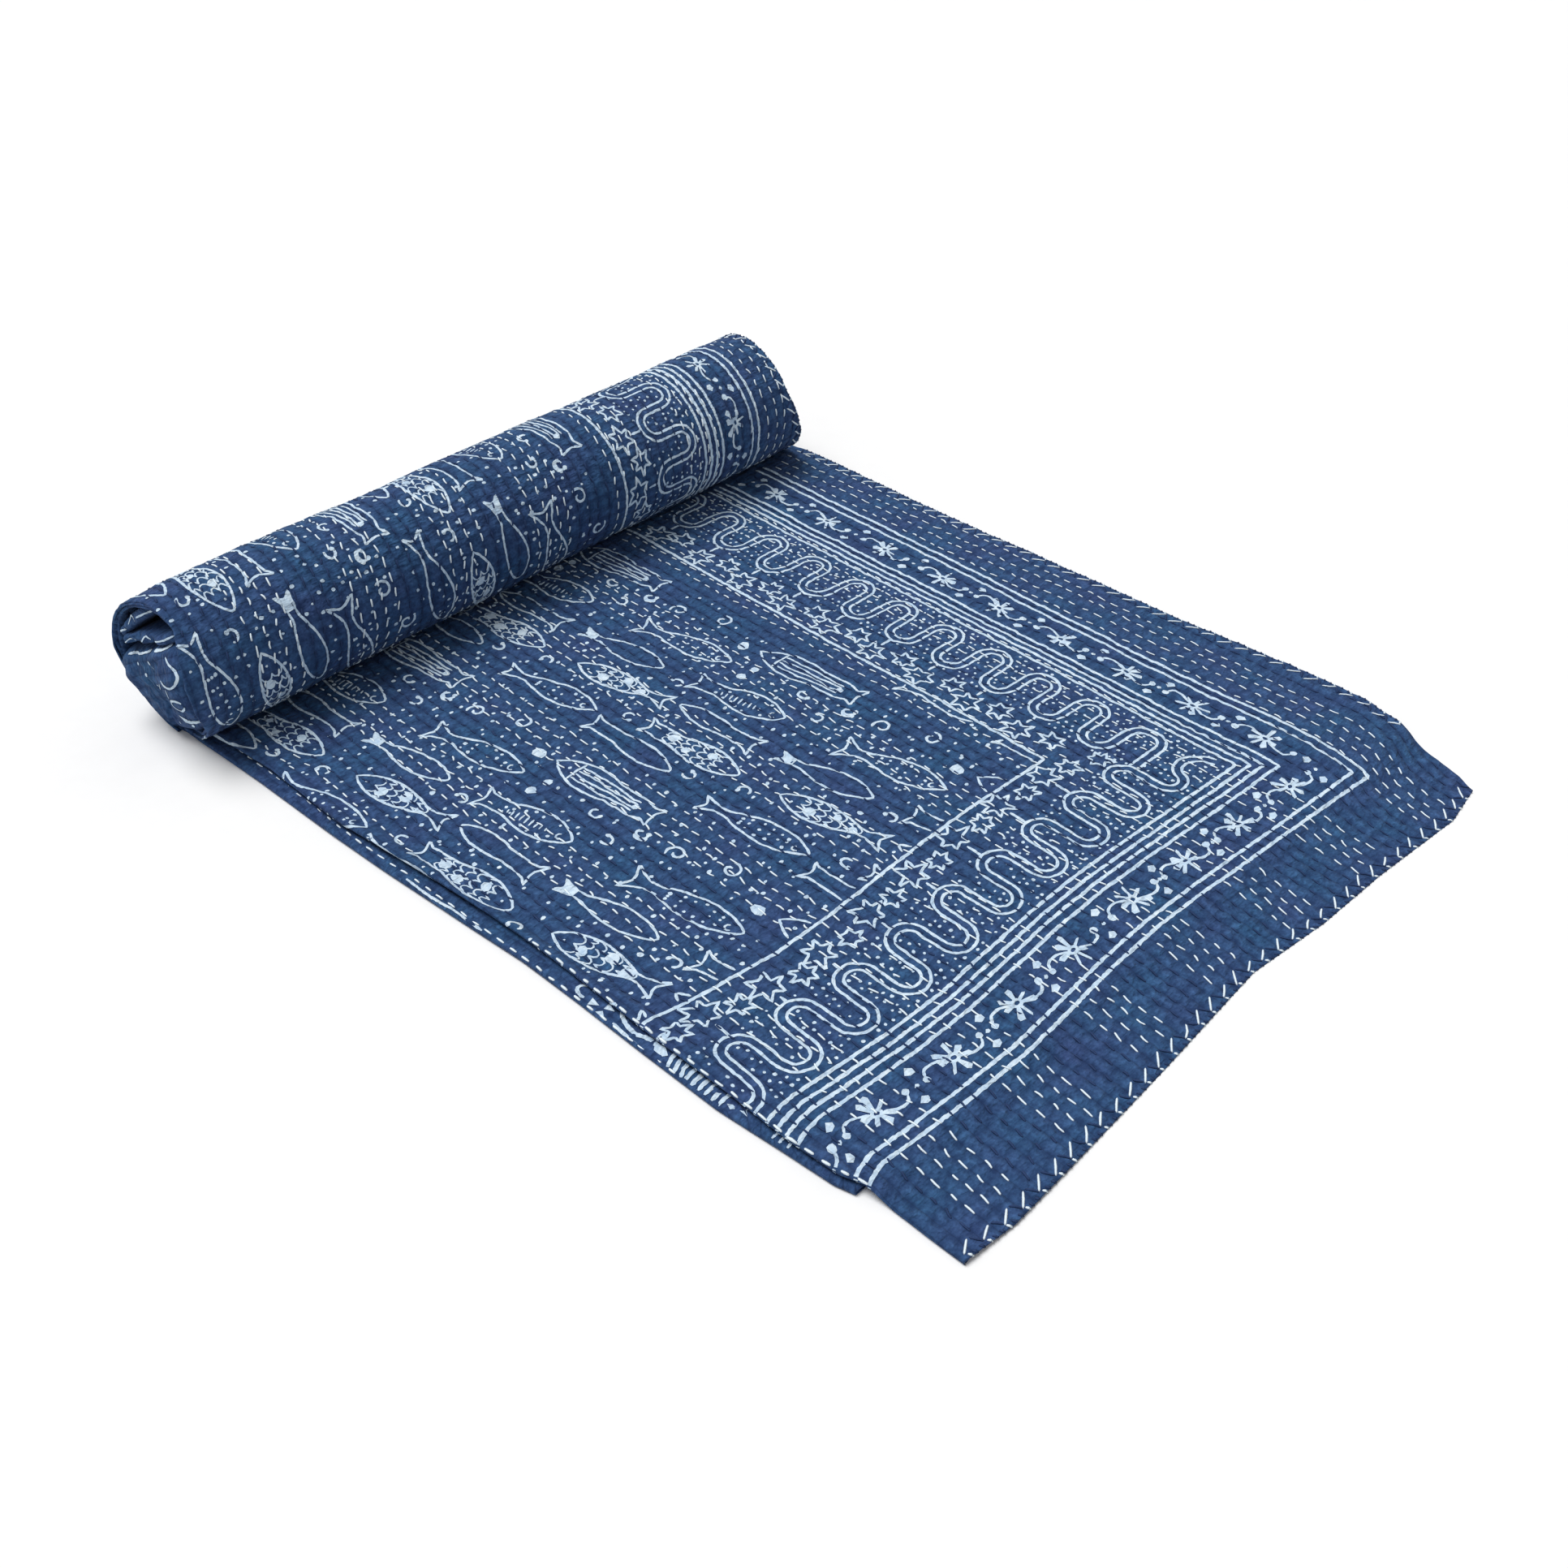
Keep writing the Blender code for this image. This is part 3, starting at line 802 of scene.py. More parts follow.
@dataclass
class Wiring:
    """Adds nodes to a material's tree or a node group, and joins them."""

    tree: Tree

    def node(self, kind: str, settings: dict | None = None, **inputs: object) -> Node:
        """Adds a node.

        Args:
            kind: Its type, without the leading ShaderNode.
            settings: Values of its own properties.
            inputs: A value or an output for each input, by name.

        Returns:
            The node.
        """
        node = self.tree.nodes.new("ShaderNode" + kind)
        for name, value in (settings or {}).items():
            setattr(node, name, value)
        for name, value in inputs.items():
            self.feed(node.inputs[name], value)
        return node

    def feed(self, socket: Socket, value: object) -> None:
        """Links an output to a socket, or sets its value.

        Args:
            socket: The input.
            value: An output or a value.
        """
        if isinstance(value, Socket):
            self.tree.links.new(value, socket)
        else:
            socket.default_value = value

    def maths(self, operation: str, *values: object) -> Socket:
        """A Math node's result.

        Args:
            operation: Name of the operation.
            values: Numbers or outputs.

        Returns:
            The node's output.
        """
        node = self.node("Math", {"operation": operation})
        for socket, value in zip(node.inputs, values):
            self.feed(socket, value)
        return node.outputs[0]

    def mix(self, share: object, first: object, second: object) -> Socket:
        """A colour between two.

        Args:
            share: 0 for the first, 1 for the second.
            first: A colour or an output.
            second: A colour or an output.

        Returns:
            The mixed colour's output.
        """
        node = self.node("Mix", {"data_type": "RGBA"})
        for index, value in ((0, share), (6, first), (7, second)):
            self.feed(node.inputs[index], value)
        return node.outputs[2]


class SharedGroup(Enum):
    """The effects that several finishes use."""

    WEAVE = "thread weave"
    MOTTLE = "dye mottling and painted crinkle shade"
    QUILTING = "puffs between the stitches"


def group_tree(effect: SharedGroup, inputs: dict[str, float | None],
               outputs: Sequence[str]) -> tuple[Wiring, dict[str, Socket]]:
    """Starts a shared node group.

    Args:
        effect: Which group.
        inputs: Starting value of each input by name; None for a place.
        outputs: Names of the number outputs.

    Returns:
        The group's wiring, and its inputs by name.
    """
    tree = bpy.data.node_groups.new(effect.value, "ShaderNodeTree")
    for name, value in inputs.items():
        kind = "NodeSocketVector" if value is None else "NodeSocketFloat"
        socket = tree.interface.new_socket(name, in_out="INPUT", socket_type=kind)
        if value is not None:
            socket.default_value = value
    for name in outputs:
        tree.interface.new_socket(name, in_out="OUTPUT", socket_type="NodeSocketFloat")
    start = tree.nodes.new("NodeGroupInput")
    return Wiring(tree), {socket.name: socket for socket in start.outputs}


def end_group(wire: Wiring, results: dict[str, Socket]) -> Tree:
    """Joins a node group's outputs.

    Args:
        wire: The group's wiring.
        results: What each output carries, by name.

    Returns:
        The group.
    """
    end = wire.tree.nodes.new("NodeGroupOutput")
    for name, value in results.items():
        wire.feed(end.inputs[name], value)
    return wire.tree


def weave_group() -> Tree:
    """A plain weave: the height of its threads over the sheet, and the gaps between them.

    Returns:
        The node group.
    """
    wire, start = group_tree(SharedGroup.WEAVE, {"Place": None, "Threads": 1800.0, "Slub": 0.5},
                             ("Height", "Gap"))
    across = wire.node("SeparateXYZ", Vector=start["Place"])
    slub = wire.node("TexNoise", Vector=start["Place"], Scale=420.0, Detail=2.0).outputs["Fac"]
    bend = wire.maths("MULTIPLY", slub, start["Slub"])
    waves = []
    for axis in ("X", "Y"):
        turns = wire.maths("MULTIPLY", across.outputs[axis], start["Threads"])
        waves.append(wire.maths("SINE", wire.maths("MULTIPLY_ADD", turns, math.pi, bend)))
    crossing = wire.maths("MULTIPLY", *waves)
    height = wire.maths("MULTIPLY_ADD", crossing, 0.5, 0.5)
    gap = wire.maths("MULTIPLY", *(wire.maths("ABSOLUTE", wave) for wave in waves))
    return end_group(wire, {"Height": wire.maths("MULTIPLY_ADD", slub, 0.6, height), "Gap": gap})


def mottle_group() -> Tree:
    """Uneven dye: broad clouds, patches the size of a stitch, and fine specks; on the indigo ground the
    dark patches and specks also stand in for painted shade of the crinkles.

    Returns:
        The node group.
    """
    wire, start = group_tree(
        SharedGroup.MOTTLE, {"Place": None, "Cloud": 26.0, "Patch": 150.0, "Speck": 480.0},
        ("Clouds", "Patches", "Specks"))
    results = {}
    for name, size, detail in (("Clouds", "Cloud", 3.0), ("Patches", "Patch", 2.0),
                               ("Specks", "Speck", 1.0)):
        noise = wire.node("TexNoise", Vector=start["Place"], Scale=start[size], Detail=detail)
        results[name] = wire.maths("MULTIPLY_ADD", noise.outputs["Fac"], 2.4, -0.7)
        results[name].node.use_clamp = True
    return end_group(wire, results)


def quilting_group() -> Tree:
    """Crinkled puffs between the rows of stitches, and a mask of painted shade for the valleys along the
    rows and between the crinkles.

    Returns:
        The node group.
    """
    wire, start = group_tree(SharedGroup.QUILTING, {"Cloth": None, "Row": ROW, "Crinkle": 210.0},
                             ("Height", "Painted valley shade"))
    sides = wire.node("SeparateXYZ", Vector=start["Cloth"]).outputs
    rows = wire.maths("DIVIDE", sides["X"], start["Row"])
    away = wire.maths("MULTIPLY", wire.maths("PINGPONG", rows, 0.5), 2.0)
    drawn = wire.node("CombineXYZ", X=wire.maths("MULTIPLY", sides["X"], 0.5), Y=sides["Y"])
    crinkle = wire.node("TexNoise", Vector=drawn.outputs["Vector"], Scale=start["Crinkle"],
                        Detail=2.0)
    folds = wire.maths("MULTIPLY_ADD", crinkle.outputs["Fac"], 3.6, -1.3)
    folds.node.use_clamp = True
    puff = wire.maths("POWER", away, 0.6)
    height = wire.maths("MULTIPLY", wire.maths("MULTIPLY_ADD", puff, 0.7, 0.3), folds)
    # painted shade: darkest along the rows of stitches and where the crinkles dip
    low = wire.maths("SUBTRACT", 1.0, wire.maths("MULTIPLY_ADD", puff, 0.55, 0.45))
    valley_shade = wire.maths("MULTIPLY_ADD", wire.maths("SUBTRACT", 1.0, folds), 0.6, low)
    return end_group(wire, {"Height": wire.maths("ADD", height, wire.maths("MULTIPLY", puff, 0.5)),
                            "Painted valley shade": wire.maths("MINIMUM", valley_shade, 1.0)})


Colour = tuple[float, float, float]


@dataclass(frozen=True)
class Finish:
    """A cotton finish: its colours, the unevenness of its dye, painted shade in the quilting's valleys,
    and its weave.
    """

    name: str
    main: Colour
    second: Colour  # the other end of the broad clouds
    dark: Colour  # the patches and specks, and the painted shade in the valleys
    patch_share: float = 0.4
    speck_share: float = 0.25
    roughness: float = 0.85
    sheen: float = 0.03
    sheen_roughness: float = 0.5
    specular: float = 0.12
    threads: float = 1800.0  # threads a metre
    weave_height: float = 0.06 * MM
    patch_height: float = 0.0  # soft unevenness of the height of a stitch's puff
    puff_height: float = 0.0  # height of the puffs between the stitch rows
    valley_shade_share: float = 0.0  # how dark the painted shade in the valleys is

    def make(self, groups: dict[SharedGroup, Tree]) -> Material:
        """Builds the material.

        Args:
            groups: The shared node groups.

        Returns:
            The material.
        """
        material = bpy.data.materials.new(self.name)
        material.use_nodes = True
        wire = Wiring(material.node_tree)
        shader = material.node_tree.nodes["Principled BSDF"].inputs
        main, second, dark = ((*colour, 1.0) for colour in (self.main, self.second, self.dark))
        place = wire.node("TexCoord").outputs["Object"]
        cloth = wire.node("UVMap", {"uv_map": "cloth"}).outputs["UV"]
        mottle = wire.node("Group", {"node_tree": groups[SharedGroup.MOTTLE]}, Place=place).outputs
        weave = wire.node("Group", {"node_tree": groups[SharedGroup.WEAVE]}, Place=cloth,
                          Threads=self.threads).outputs
        colour = wire.mix(mottle["Clouds"], main, second)
        height = wire.maths("MULTIPLY", weave["Height"], self.weave_height)
        # dark patches and specks: dye mottling, and on the indigo ground partly painted shade of the
        # crinkles
        for spots, share in (("Patches", self.patch_share), ("Specks", self.speck_share)):
            colour = wire.mix(wire.maths("MULTIPLY", mottle[spots], share), colour, dark)
        if self.patch_height:
            height = wire.maths("MULTIPLY_ADD", mottle["Patches"], self.patch_height, height)
        if self.puff_height:
            quilting = wire.node("Group", {"node_tree": groups[SharedGroup.QUILTING]}, Cloth=cloth)
            # painted shade: the colour goes towards the dark one in the quilting's valleys
            depth = wire.maths("MULTIPLY", quilting.outputs["Painted valley shade"], self.valley_shade_share)
            colour = wire.mix(depth, colour, dark)
            height = wire.maths("MULTIPLY_ADD", quilting.outputs["Height"], self.puff_height, height)
        bump = wire.node("Bump", Height=height, Strength=1.0, Distance=1.0)
        roughness = wire.maths("MULTIPLY_ADD", weave["Gap"], 0.1, self.roughness - 0.05)
        for name, value in (("Base Color", colour), ("Roughness", roughness),
                            ("Normal", bump.outputs["Normal"]), ("Sheen Weight", self.sheen),
                            ("Sheen Roughness", self.sheen_roughness),
                            ("Specular IOR Level", self.specular)):
            wire.feed(shader[name], value)
        return material


# The indigo ground carries strong painted shade in the quilting's valleys.
INDIGO = Finish(
    "indigo cotton",
    main=(0.068, 0.124, 0.306), second=(0.052, 0.162, 0.338),
    # its strong dark patches and specks are partly dye mottling and partly painted shade of the
    # quilting's crinkles
    dark=(0.006, 0.018, 0.068), patch_share=0.37, speck_share=0.46, patch_height=0.25 * MM,
    puff_height=1.3 * MM, valley_shade_share=0.72)
# The print carries lighter painted shade in the quilting's valleys.
UNDYED_PRINT = Finish(
    "undyed block print",
    main=(0.78, 0.92, 1.0), second=(0.86, 0.96, 1.0),
    dark=(0.2, 0.37, 0.62), patch_share=0.42, speck_share=0.24, patch_height=0.25 * MM,
    puff_height=1.3 * MM, valley_shade_share=0.26)
WHITE_THREAD = Finish(
    "white cotton thread",
    main=(0.84, 0.94, 1.0), second=(0.8, 0.92, 1.0),
    dark=(0.68, 0.82, 0.97), patch_share=0.1, speck_share=0.1, threads=4200.0)
NAVY_THREAD = Finish(
    "navy cotton thread",
    main=(0.034, 0.064, 0.168), second=(0.027, 0.058, 0.152),
    dark=(0.01, 0.024, 0.074), threads=4200.0)


@dataclass(frozen=True)
class FoldedSheet:
    """The whole cloth, folded and wound, apart from the two faces that show."""

    roll: Roll
    flat_rows: int = 64
    crowding: float = 1.35  # above 1, rows crowd towards the near end
    steps: int = 34  # rows round one turn
    fold_steps: int = 5
    shares: tuple[float, ...] = (0.0, 0.004, 0.012, 0.03, 0.06, 0.12, 0.25, 0.4, 0.55, 0.7,
                                 0.85, 0.94, 0.975, 0.99, 1.0)
    face_turn: tuple[float, float] = (0.1, 6.0)  # radians of the roll that its face covers
    sides: tuple[tuple[str, str], ...] = (  # left and right side of each layer
        ("left_fold", "top_edge"), ("left_fold", "right_fold"),
        ("low_fold", "right_fold"), ("low_fold", "low_edge"))
    end_offsets: tuple[tuple[float, float], ...] = (  # how far in each layer's ends lie, rolled
        (1.5 * MM, 3.0 * MM), (1.5 * MM, 2.0 * MM), (0.0, 2.0 * MM), (0.0, 0.0))
    joined_turn: float = 0.5  # radians in which the sides go over from flat to wound
    unevenness: float = 2.8 * MM  # how far the wound sides stray
    uneven_turn: float = 1.5  # radians in which that sets in
    noise: Unevenness = Unevenness(31)

    def stops(self) -> tuple[Array, Array, Array]:
        """The section's points, from the top layer's own edge to the bottom layer's.

        Returns:
            The layer, the share from its left side to its right, and the angle round the fold
            that follows it, 0 on the layer itself.
        """
        rows = []
        for layer in range(1, 5):
            shares = self.shares[::-1] if layer % 2 else self.shares
            rows += [(layer, share, 0.0) for share in shares]
            if layer < 4:
                rows += [(layer, shares[-1], math.pi * step / self.fold_steps)
                         for step in range(1, self.fold_steps)]
        table = np.array(rows)
        return table[:, 0].astype(int), table[:, 1], table[:, 2]

    def flat_points(self, along: Array) -> Array:
        """The points of the flat stretch.

        Args:
            along: Shares of the way from the near edge to the roll.

        Returns:
            An array of rows, columns and x, y, z.
        """
        packet = self.roll.packet
        layers, shares, angles = self.stops()
        grid = np.empty((len(along), len(layers), 3))
        for column, (layer, share, angle) in enumerate(zip(layers, shares, angles)):
            left_name, right_name = self.sides[layer - 1]
            outward = -1.0 if layer % 2 else 1.0
            halfway = 0.5 * (packet.edge(left_name, 0.2) + packet.edge(right_name, 0.2))
            x, y = np.full(len(along), halfway), np.zeros(len(along))
            for _ in range(3):  # each round comes closer to the row's place
                near = packet.near_edge(layer, packet.across(x, y))
                y = near + (packet.roll_y(x) - near) * along ** self.crowding
                left, right = packet.edge(left_name, y), packet.edge(right_name, y)
                left = left + 0.5 * (packet.layer_pitch(left, y) + packet.cloth.thickness)
                if right_name == "right_fold":
                    right = right - 0.5 * (packet.layer_pitch(right, y) + packet.cloth.thickness)
                x = left + share * (right - left)
            turned = 0.5 * (1.0 - math.cos(angle))
            after = min(layer + 1, 4)
            z = (1.0 - turned) * packet.height(layer, x, y) + turned * packet.height(after, x, y)
            x = x + outward * 0.5 * packet.layer_pitch(x, y) * math.sin(angle)
            grid[:, column] = np.stack((x, y, z), -1)
        return grid

    def stray(self, wound: Array, number: int) -> Array:
        """Unevenness of one fold's or edge's place, as the cloth winds."""
        return self.noise.at(wound / 0.55, number * 7.0 + 0.5) \
            + 0.4 * self.noise.at(wound / 0.21, number * 5.0 + 30.5)

    def roll_points(self, wound: Array) -> Array:
        """The points of the wound part.

        Args:
            wound: Radians wound from the foot.

        Returns:
            An array of rows, columns and x, y, z.
        """
        packet, roll = self.roll.packet, self.roll
        pitch, thickness = packet.wound_pitch, packet.cloth.thickness
        layers, shares, angles = self.stops()
        grid = np.empty((len(wound), len(layers), 3))
        joined = eased(wound / self.joined_turn)
        uneven = self.unevenness * eased(wound / self.uneven_turn)
        foot_y = packet.axis_y
        for column, (layer, share, angle) in enumerate(zip(layers, shares, angles)):
            left_name, right_name = self.sides[layer - 1]
            outward = -1.0 if layer % 2 else 1.0
            in_left, in_right = self.end_offsets[layer - 1]
            pair = 0 if layer < 3 else 1
            middle = 2 if layer in (2, 3) else 3 + layer
            left = roll.left_end(wound) + in_left + uneven * self.stray(wound, pair)
            right = roll.right_end(wound) - in_right - uneven * self.stray(wound, middle)
            foot_left, foot_right = packet.edge(left_name, foot_y), packet.edge(right_name, foot_y)
            left = foot_left + (left - foot_left) * joined
            right = foot_right + (right - foot_right) * joined
            left = left + 0.5 * (pitch + thickness)
            if right_name == "right_fold":
                right = right - 0.5 * (pitch + thickness)
            x = left + share * (right - left) + outward * 0.5 * pitch * math.sin(angle)
            turned = 0.5 * (1.0 - math.cos(angle))
            depth = 0.5 * thickness + (4 - layer - turned) * pitch
            grid[:, column] = roll.point(x, wound, np.full_like(x, depth))
        return grid

    def build(self, material: Material) -> Object:
        """Makes the sheet.

        Args:
            material: Its finish.

        Returns:
            The object.
        """
        along = np.linspace(0.0, 1.0, self.flat_rows + 1)
        wound = np.arange(1, int(self.steps * self.roll.turns)) * 2.0 * math.pi / self.steps
        points = np.concatenate((self.flat_points(along), self.roll_points(wound)))
        rows, columns = points.shape[:2]
        layers, _, angles = self.stops()
        start = np.concatenate((np.full(len(along), -1.0), wound))[:-1, None]
        layer, angle = layers[None, :-1], np.maximum(angles[:-1], angles[1:])[None, :]
        top_face = (start < 0.0) & (layer == 1)
        roll_face = (start > self.face_turn[0]) & (start < self.face_turn[1]) \
            & ((layer == 4) | ((layer == 3) & (angle > 0.0)))
        seam = np.linalg.norm(np.diff(points, axis=1), axis=-1)
        distance = np.concatenate((np.zeros((rows, 1)), np.cumsum(seam, axis=1)), axis=1)
        run = np.linalg.norm(np.diff(points, axis=0), axis=-1).mean(axis=1)
        length = np.concatenate(([0.0], np.cumsum(run)))
        places = np.stack(np.broadcast_arrays(distance, length[:, None]), -1)
        piece = Piece("quilt-cloth")
        piece.add(points.reshape(-1, 3), grid_faces(rows, columns, ~(top_face | roll_face)),
                  places.reshape(-1, 2))
        cloth = piece.build(material)
        drop_loose(cloth)
        solid = cloth.modifiers.new("cloth thickness", "SOLIDIFY")
        solid.thickness = self.roll.packet.cloth.thickness
        solid.offset = 0.0
        return cloth


def drop_loose(piece: Object) -> None:
    """Removes the points that no face uses.

    Args:
        piece: The object.
    """
    form = bmesh.new()
    form.from_mesh(piece.data)
    bmesh.ops.delete(form, geom=[v for v in form.verts if not v.link_faces], context="VERTS")
    form.to_mesh(piece.data)
    form.free()


@dataclass(frozen=True)
class FacePanel:
    """A fine panel of cloth that shows: a grid over one of the two faces."""

    face: Face
    name: str
    spacing: float = 2.2 * MM
    width: float = 0.565  # its width, which sets how many columns it has
    length: float = 0.67  # and its length, for the rows of the flat one
    sides: tuple[float, float] = (-0.06, 0.605)  # y between which its sides are followed
    wrap_share: float = 0.92  # how far round the left fold it goes
    wrap_steps: int = 9
    hem_back: float = 5 * MM  # how far its turned edges run back underneath
    hem_steps: int = 8

    def across(self, left: Array, right: Array, bend: Array) -> Array:
        """Places across the cloth, from past the left fold to past the right hem.

        Args:
            left: The left fold's x in each row.
            right: The right edge's x in each row.
            bend: The left fold's radius in each row.

        Returns:
            One row of places for each row.
        """
        hem = self.face.hem
        columns = int(round(self.width / self.spacing))
        fold = np.linspace(1.0, 0.0, self.wrap_steps, endpoint=False)
        start = (left + bend)[:, None]
        past_fold = start - fold * (self.wrap_share * math.pi * bend)[:, None]
        inside = start + np.linspace(0.0, 1.0, columns + 1) * (right - hem - left - bend)[:, None]
        past_hem = (right - hem)[:, None] + self.turned()[None, :]
        return np.concatenate((past_fold, inside, past_hem), axis=1)

    def turned(self) -> Array:
        """How far past a hem's start the turned edge's points lie."""
        arc = np.arange(1, self.hem_steps + 1) / self.hem_steps * math.pi * self.face.hem
        return np.concatenate((arc, [math.pi * self.face.hem + self.hem_back]))

    def flat_grid(self) -> tuple[Array, Array]:
        """Places of the grid's points on the flat face.

        Returns:
            x and y, one row for each row of the grid.
        """
        face = self.face
        rows = int(round(self.length / self.spacing))
        y = np.linspace(*self.sides, rows)
        x = self.across(face.left(y), face.right(y), face.bend(y))
        near = face.near(x, y[:, None]) + face.hem
        far = face.packet.roll_y(x) - 2 * MM
        y = near + (far - near) * np.linspace(0.0, 1.0, rows)[:, None]
        y = np.concatenate((near[:1] - self.turned()[::-1, None], y))
        return self.across(face.left(y[:, 0]), face.right(y[:, -1]), face.bend(y[:, 0])), y

    def roll_grid(self, start: float, end: float) -> tuple[Array, Array]:
        """Places of the grid's points on the roll's face.

        Args:
            start: Radians wound where it starts.
            end: Radians wound where it ends.

        Returns:
            x and y, one row for each row of the grid.
        """
        face, roll = self.face, self.face.roll
        rows = int(round((end - start) * roll.radius / self.spacing))
        wound = np.linspace(end, start, rows)
        bend = np.full(rows, 0.5 * (roll.packet.wound_pitch + roll.packet.cloth.thickness))
        x = self.across(roll.left_end(wound), roll.right_end(wound), bend)
        return x, np.broadcast_to(face.along(wound)[:, None], x.shape)

    def build(self, x: Array, y: Array, material: Material) -> Object:
        """Makes the panel.

        Args:
            x: Places across the cloth, one row for each row of the grid.
            y: Places along it.
            material: Its finish.

        Returns:
            The object.
        """
        points = self.face.place(x, y)
        piece = Piece(self.name)
        places = np.stack((self.face.cloth.even(x, y), y), -1)
        piece.add(points.reshape(-1, 3), grid_faces(*x.shape), places.reshape(-1, 2))
        return piece.build(material)


class FishKind(Enum):
    """How a printed fish is filled."""

    DOTTED = "dots and a curl"
    SCALED = "scales with pale blotches"
    PLAIN = "bare outline"
    PALE_TAIL = "bare outline and a filled tail"
    RIBBED = "a row of ribs between dots"
    STRIPED = "long stripes behind a pointed head"


def smooth(points: Spots, steps: int = 6) -> Path:
    """A smooth curve through a few points.

    Args:
        points: The points that it goes through.
        steps: Number of points for each stretch.

    Returns:
        The curve's points.
    """
    knots = np.array(points, float)
    before = np.concatenate((2 * knots[:1] - knots[1:2], knots[:-1]))
    after = np.concatenate((knots[1:], 2 * knots[-1:] - knots[-2:-1]))
    last = np.concatenate((knots[2:], knots[-1:], knots[-1:]))
    share = np.linspace(0.0, 1.0, steps, endpoint=False)[None, :, None]
    a, b, c, d = (part[:, None, :] for part in (before, knots, after, last))
    curve = 0.5 * (2 * b + (c - a) * share + (2 * a - 5 * b + 4 * c - d) * share ** 2
                   + (3 * b - a - 3 * c + d) * share ** 3)
    return np.concatenate((curve[:-1].reshape(-1, 2), knots[-1:]))


class BlockPrint:
    """Lines, dots and filled patches in loops of the border, later laid onto a face."""

    def __init__(self, seed: int) -> None:
        """Starts an empty print, with a seed for its hand-made unevenness."""
        self.random = np.random.default_rng(seed)
        self.lines: list[tuple[Path, float, bool]] = []
        self.patches: list[Path] = []

    def line(self, path: Spots, width: float = 0.062, closed: bool = False) -> None:
        """Adds a line of some width."""
        self.lines.append((np.asarray(path, float), width, closed))

    def patch(self, path: Spots) -> None:
        """Adds a filled outline that can be seen whole from its middle."""
        self.patches.append(np.asarray(path, float))

    def dot(self, x: float, y: float, radius: float, stretch: float = 1.0) -> None:
        """Adds a round dot, cut by hand and so a little uneven.

        Args:
            x: Its middle's x.
            y: Its middle's y.
            radius: Its radius.
            stretch: How much longer than wide it is.
        """
        angles = np.arange(8) * math.pi / 4 + self.random.uniform(0, 1)
        reach = radius * self.random.uniform(0.8, 1.15, 8)
        self.patch(curl(x, y, reach, stretch * reach, angles))

    def moved(self, change: Callable[[Path], Path]) -> "BlockPrint":
        """The same print elsewhere.

        Args:
            change: Moves places.

        Returns:
            The moved print.
        """
        other = BlockPrint(0)
        other.lines = [(change(path), width, closed) for path, width, closed in self.lines]
        other.patches = [change(path) for path in self.patches]
        return other

    def absorb(self, other: "BlockPrint", keep: Callable[[Path], Array],
               warp: Callable[[Path], Path]) -> None:
        """Adds another print, clipped to where it may lie and then warped.

        Args:
            other: The print to add.
            keep: Says for each place whether the print may lie there.
            warp: Moves places.
        """
        for path, width, closed in other.lines:
            path = even_steps(np.concatenate((path, path[:1])) if closed else path)
            inside = keep(path)
            breaks = np.flatnonzero(np.diff(inside.astype(int))) + 1
            for part in np.split(np.arange(len(path)), breaks):
                if inside[part[0]] and len(part) > 1:
                    whole = closed and len(part) == len(path)
                    self.lines.append((warp(path[part][:-1] if whole else path[part]), width, whole))
        self.patches += [warp(path) for path in other.patches if keep(path).all()]


def even_steps(path: Path, step: float = 0.042) -> Path:
    """The same path with points at even steps.

    Args:
        path: The path.
        step: Distance between its points.

    Returns:
        The new path.
    """
    length = np.concatenate(([0.0], np.cumsum(np.linalg.norm(np.diff(path, axis=0), axis=1))))
    count = max(int(round(length[-1] / step)), 2)
    stops = np.linspace(0.0, length[-1], count + 1)
    return np.stack((np.interp(stops, length, path[:, 0]), np.interp(stops, length, path[:, 1])), -1)


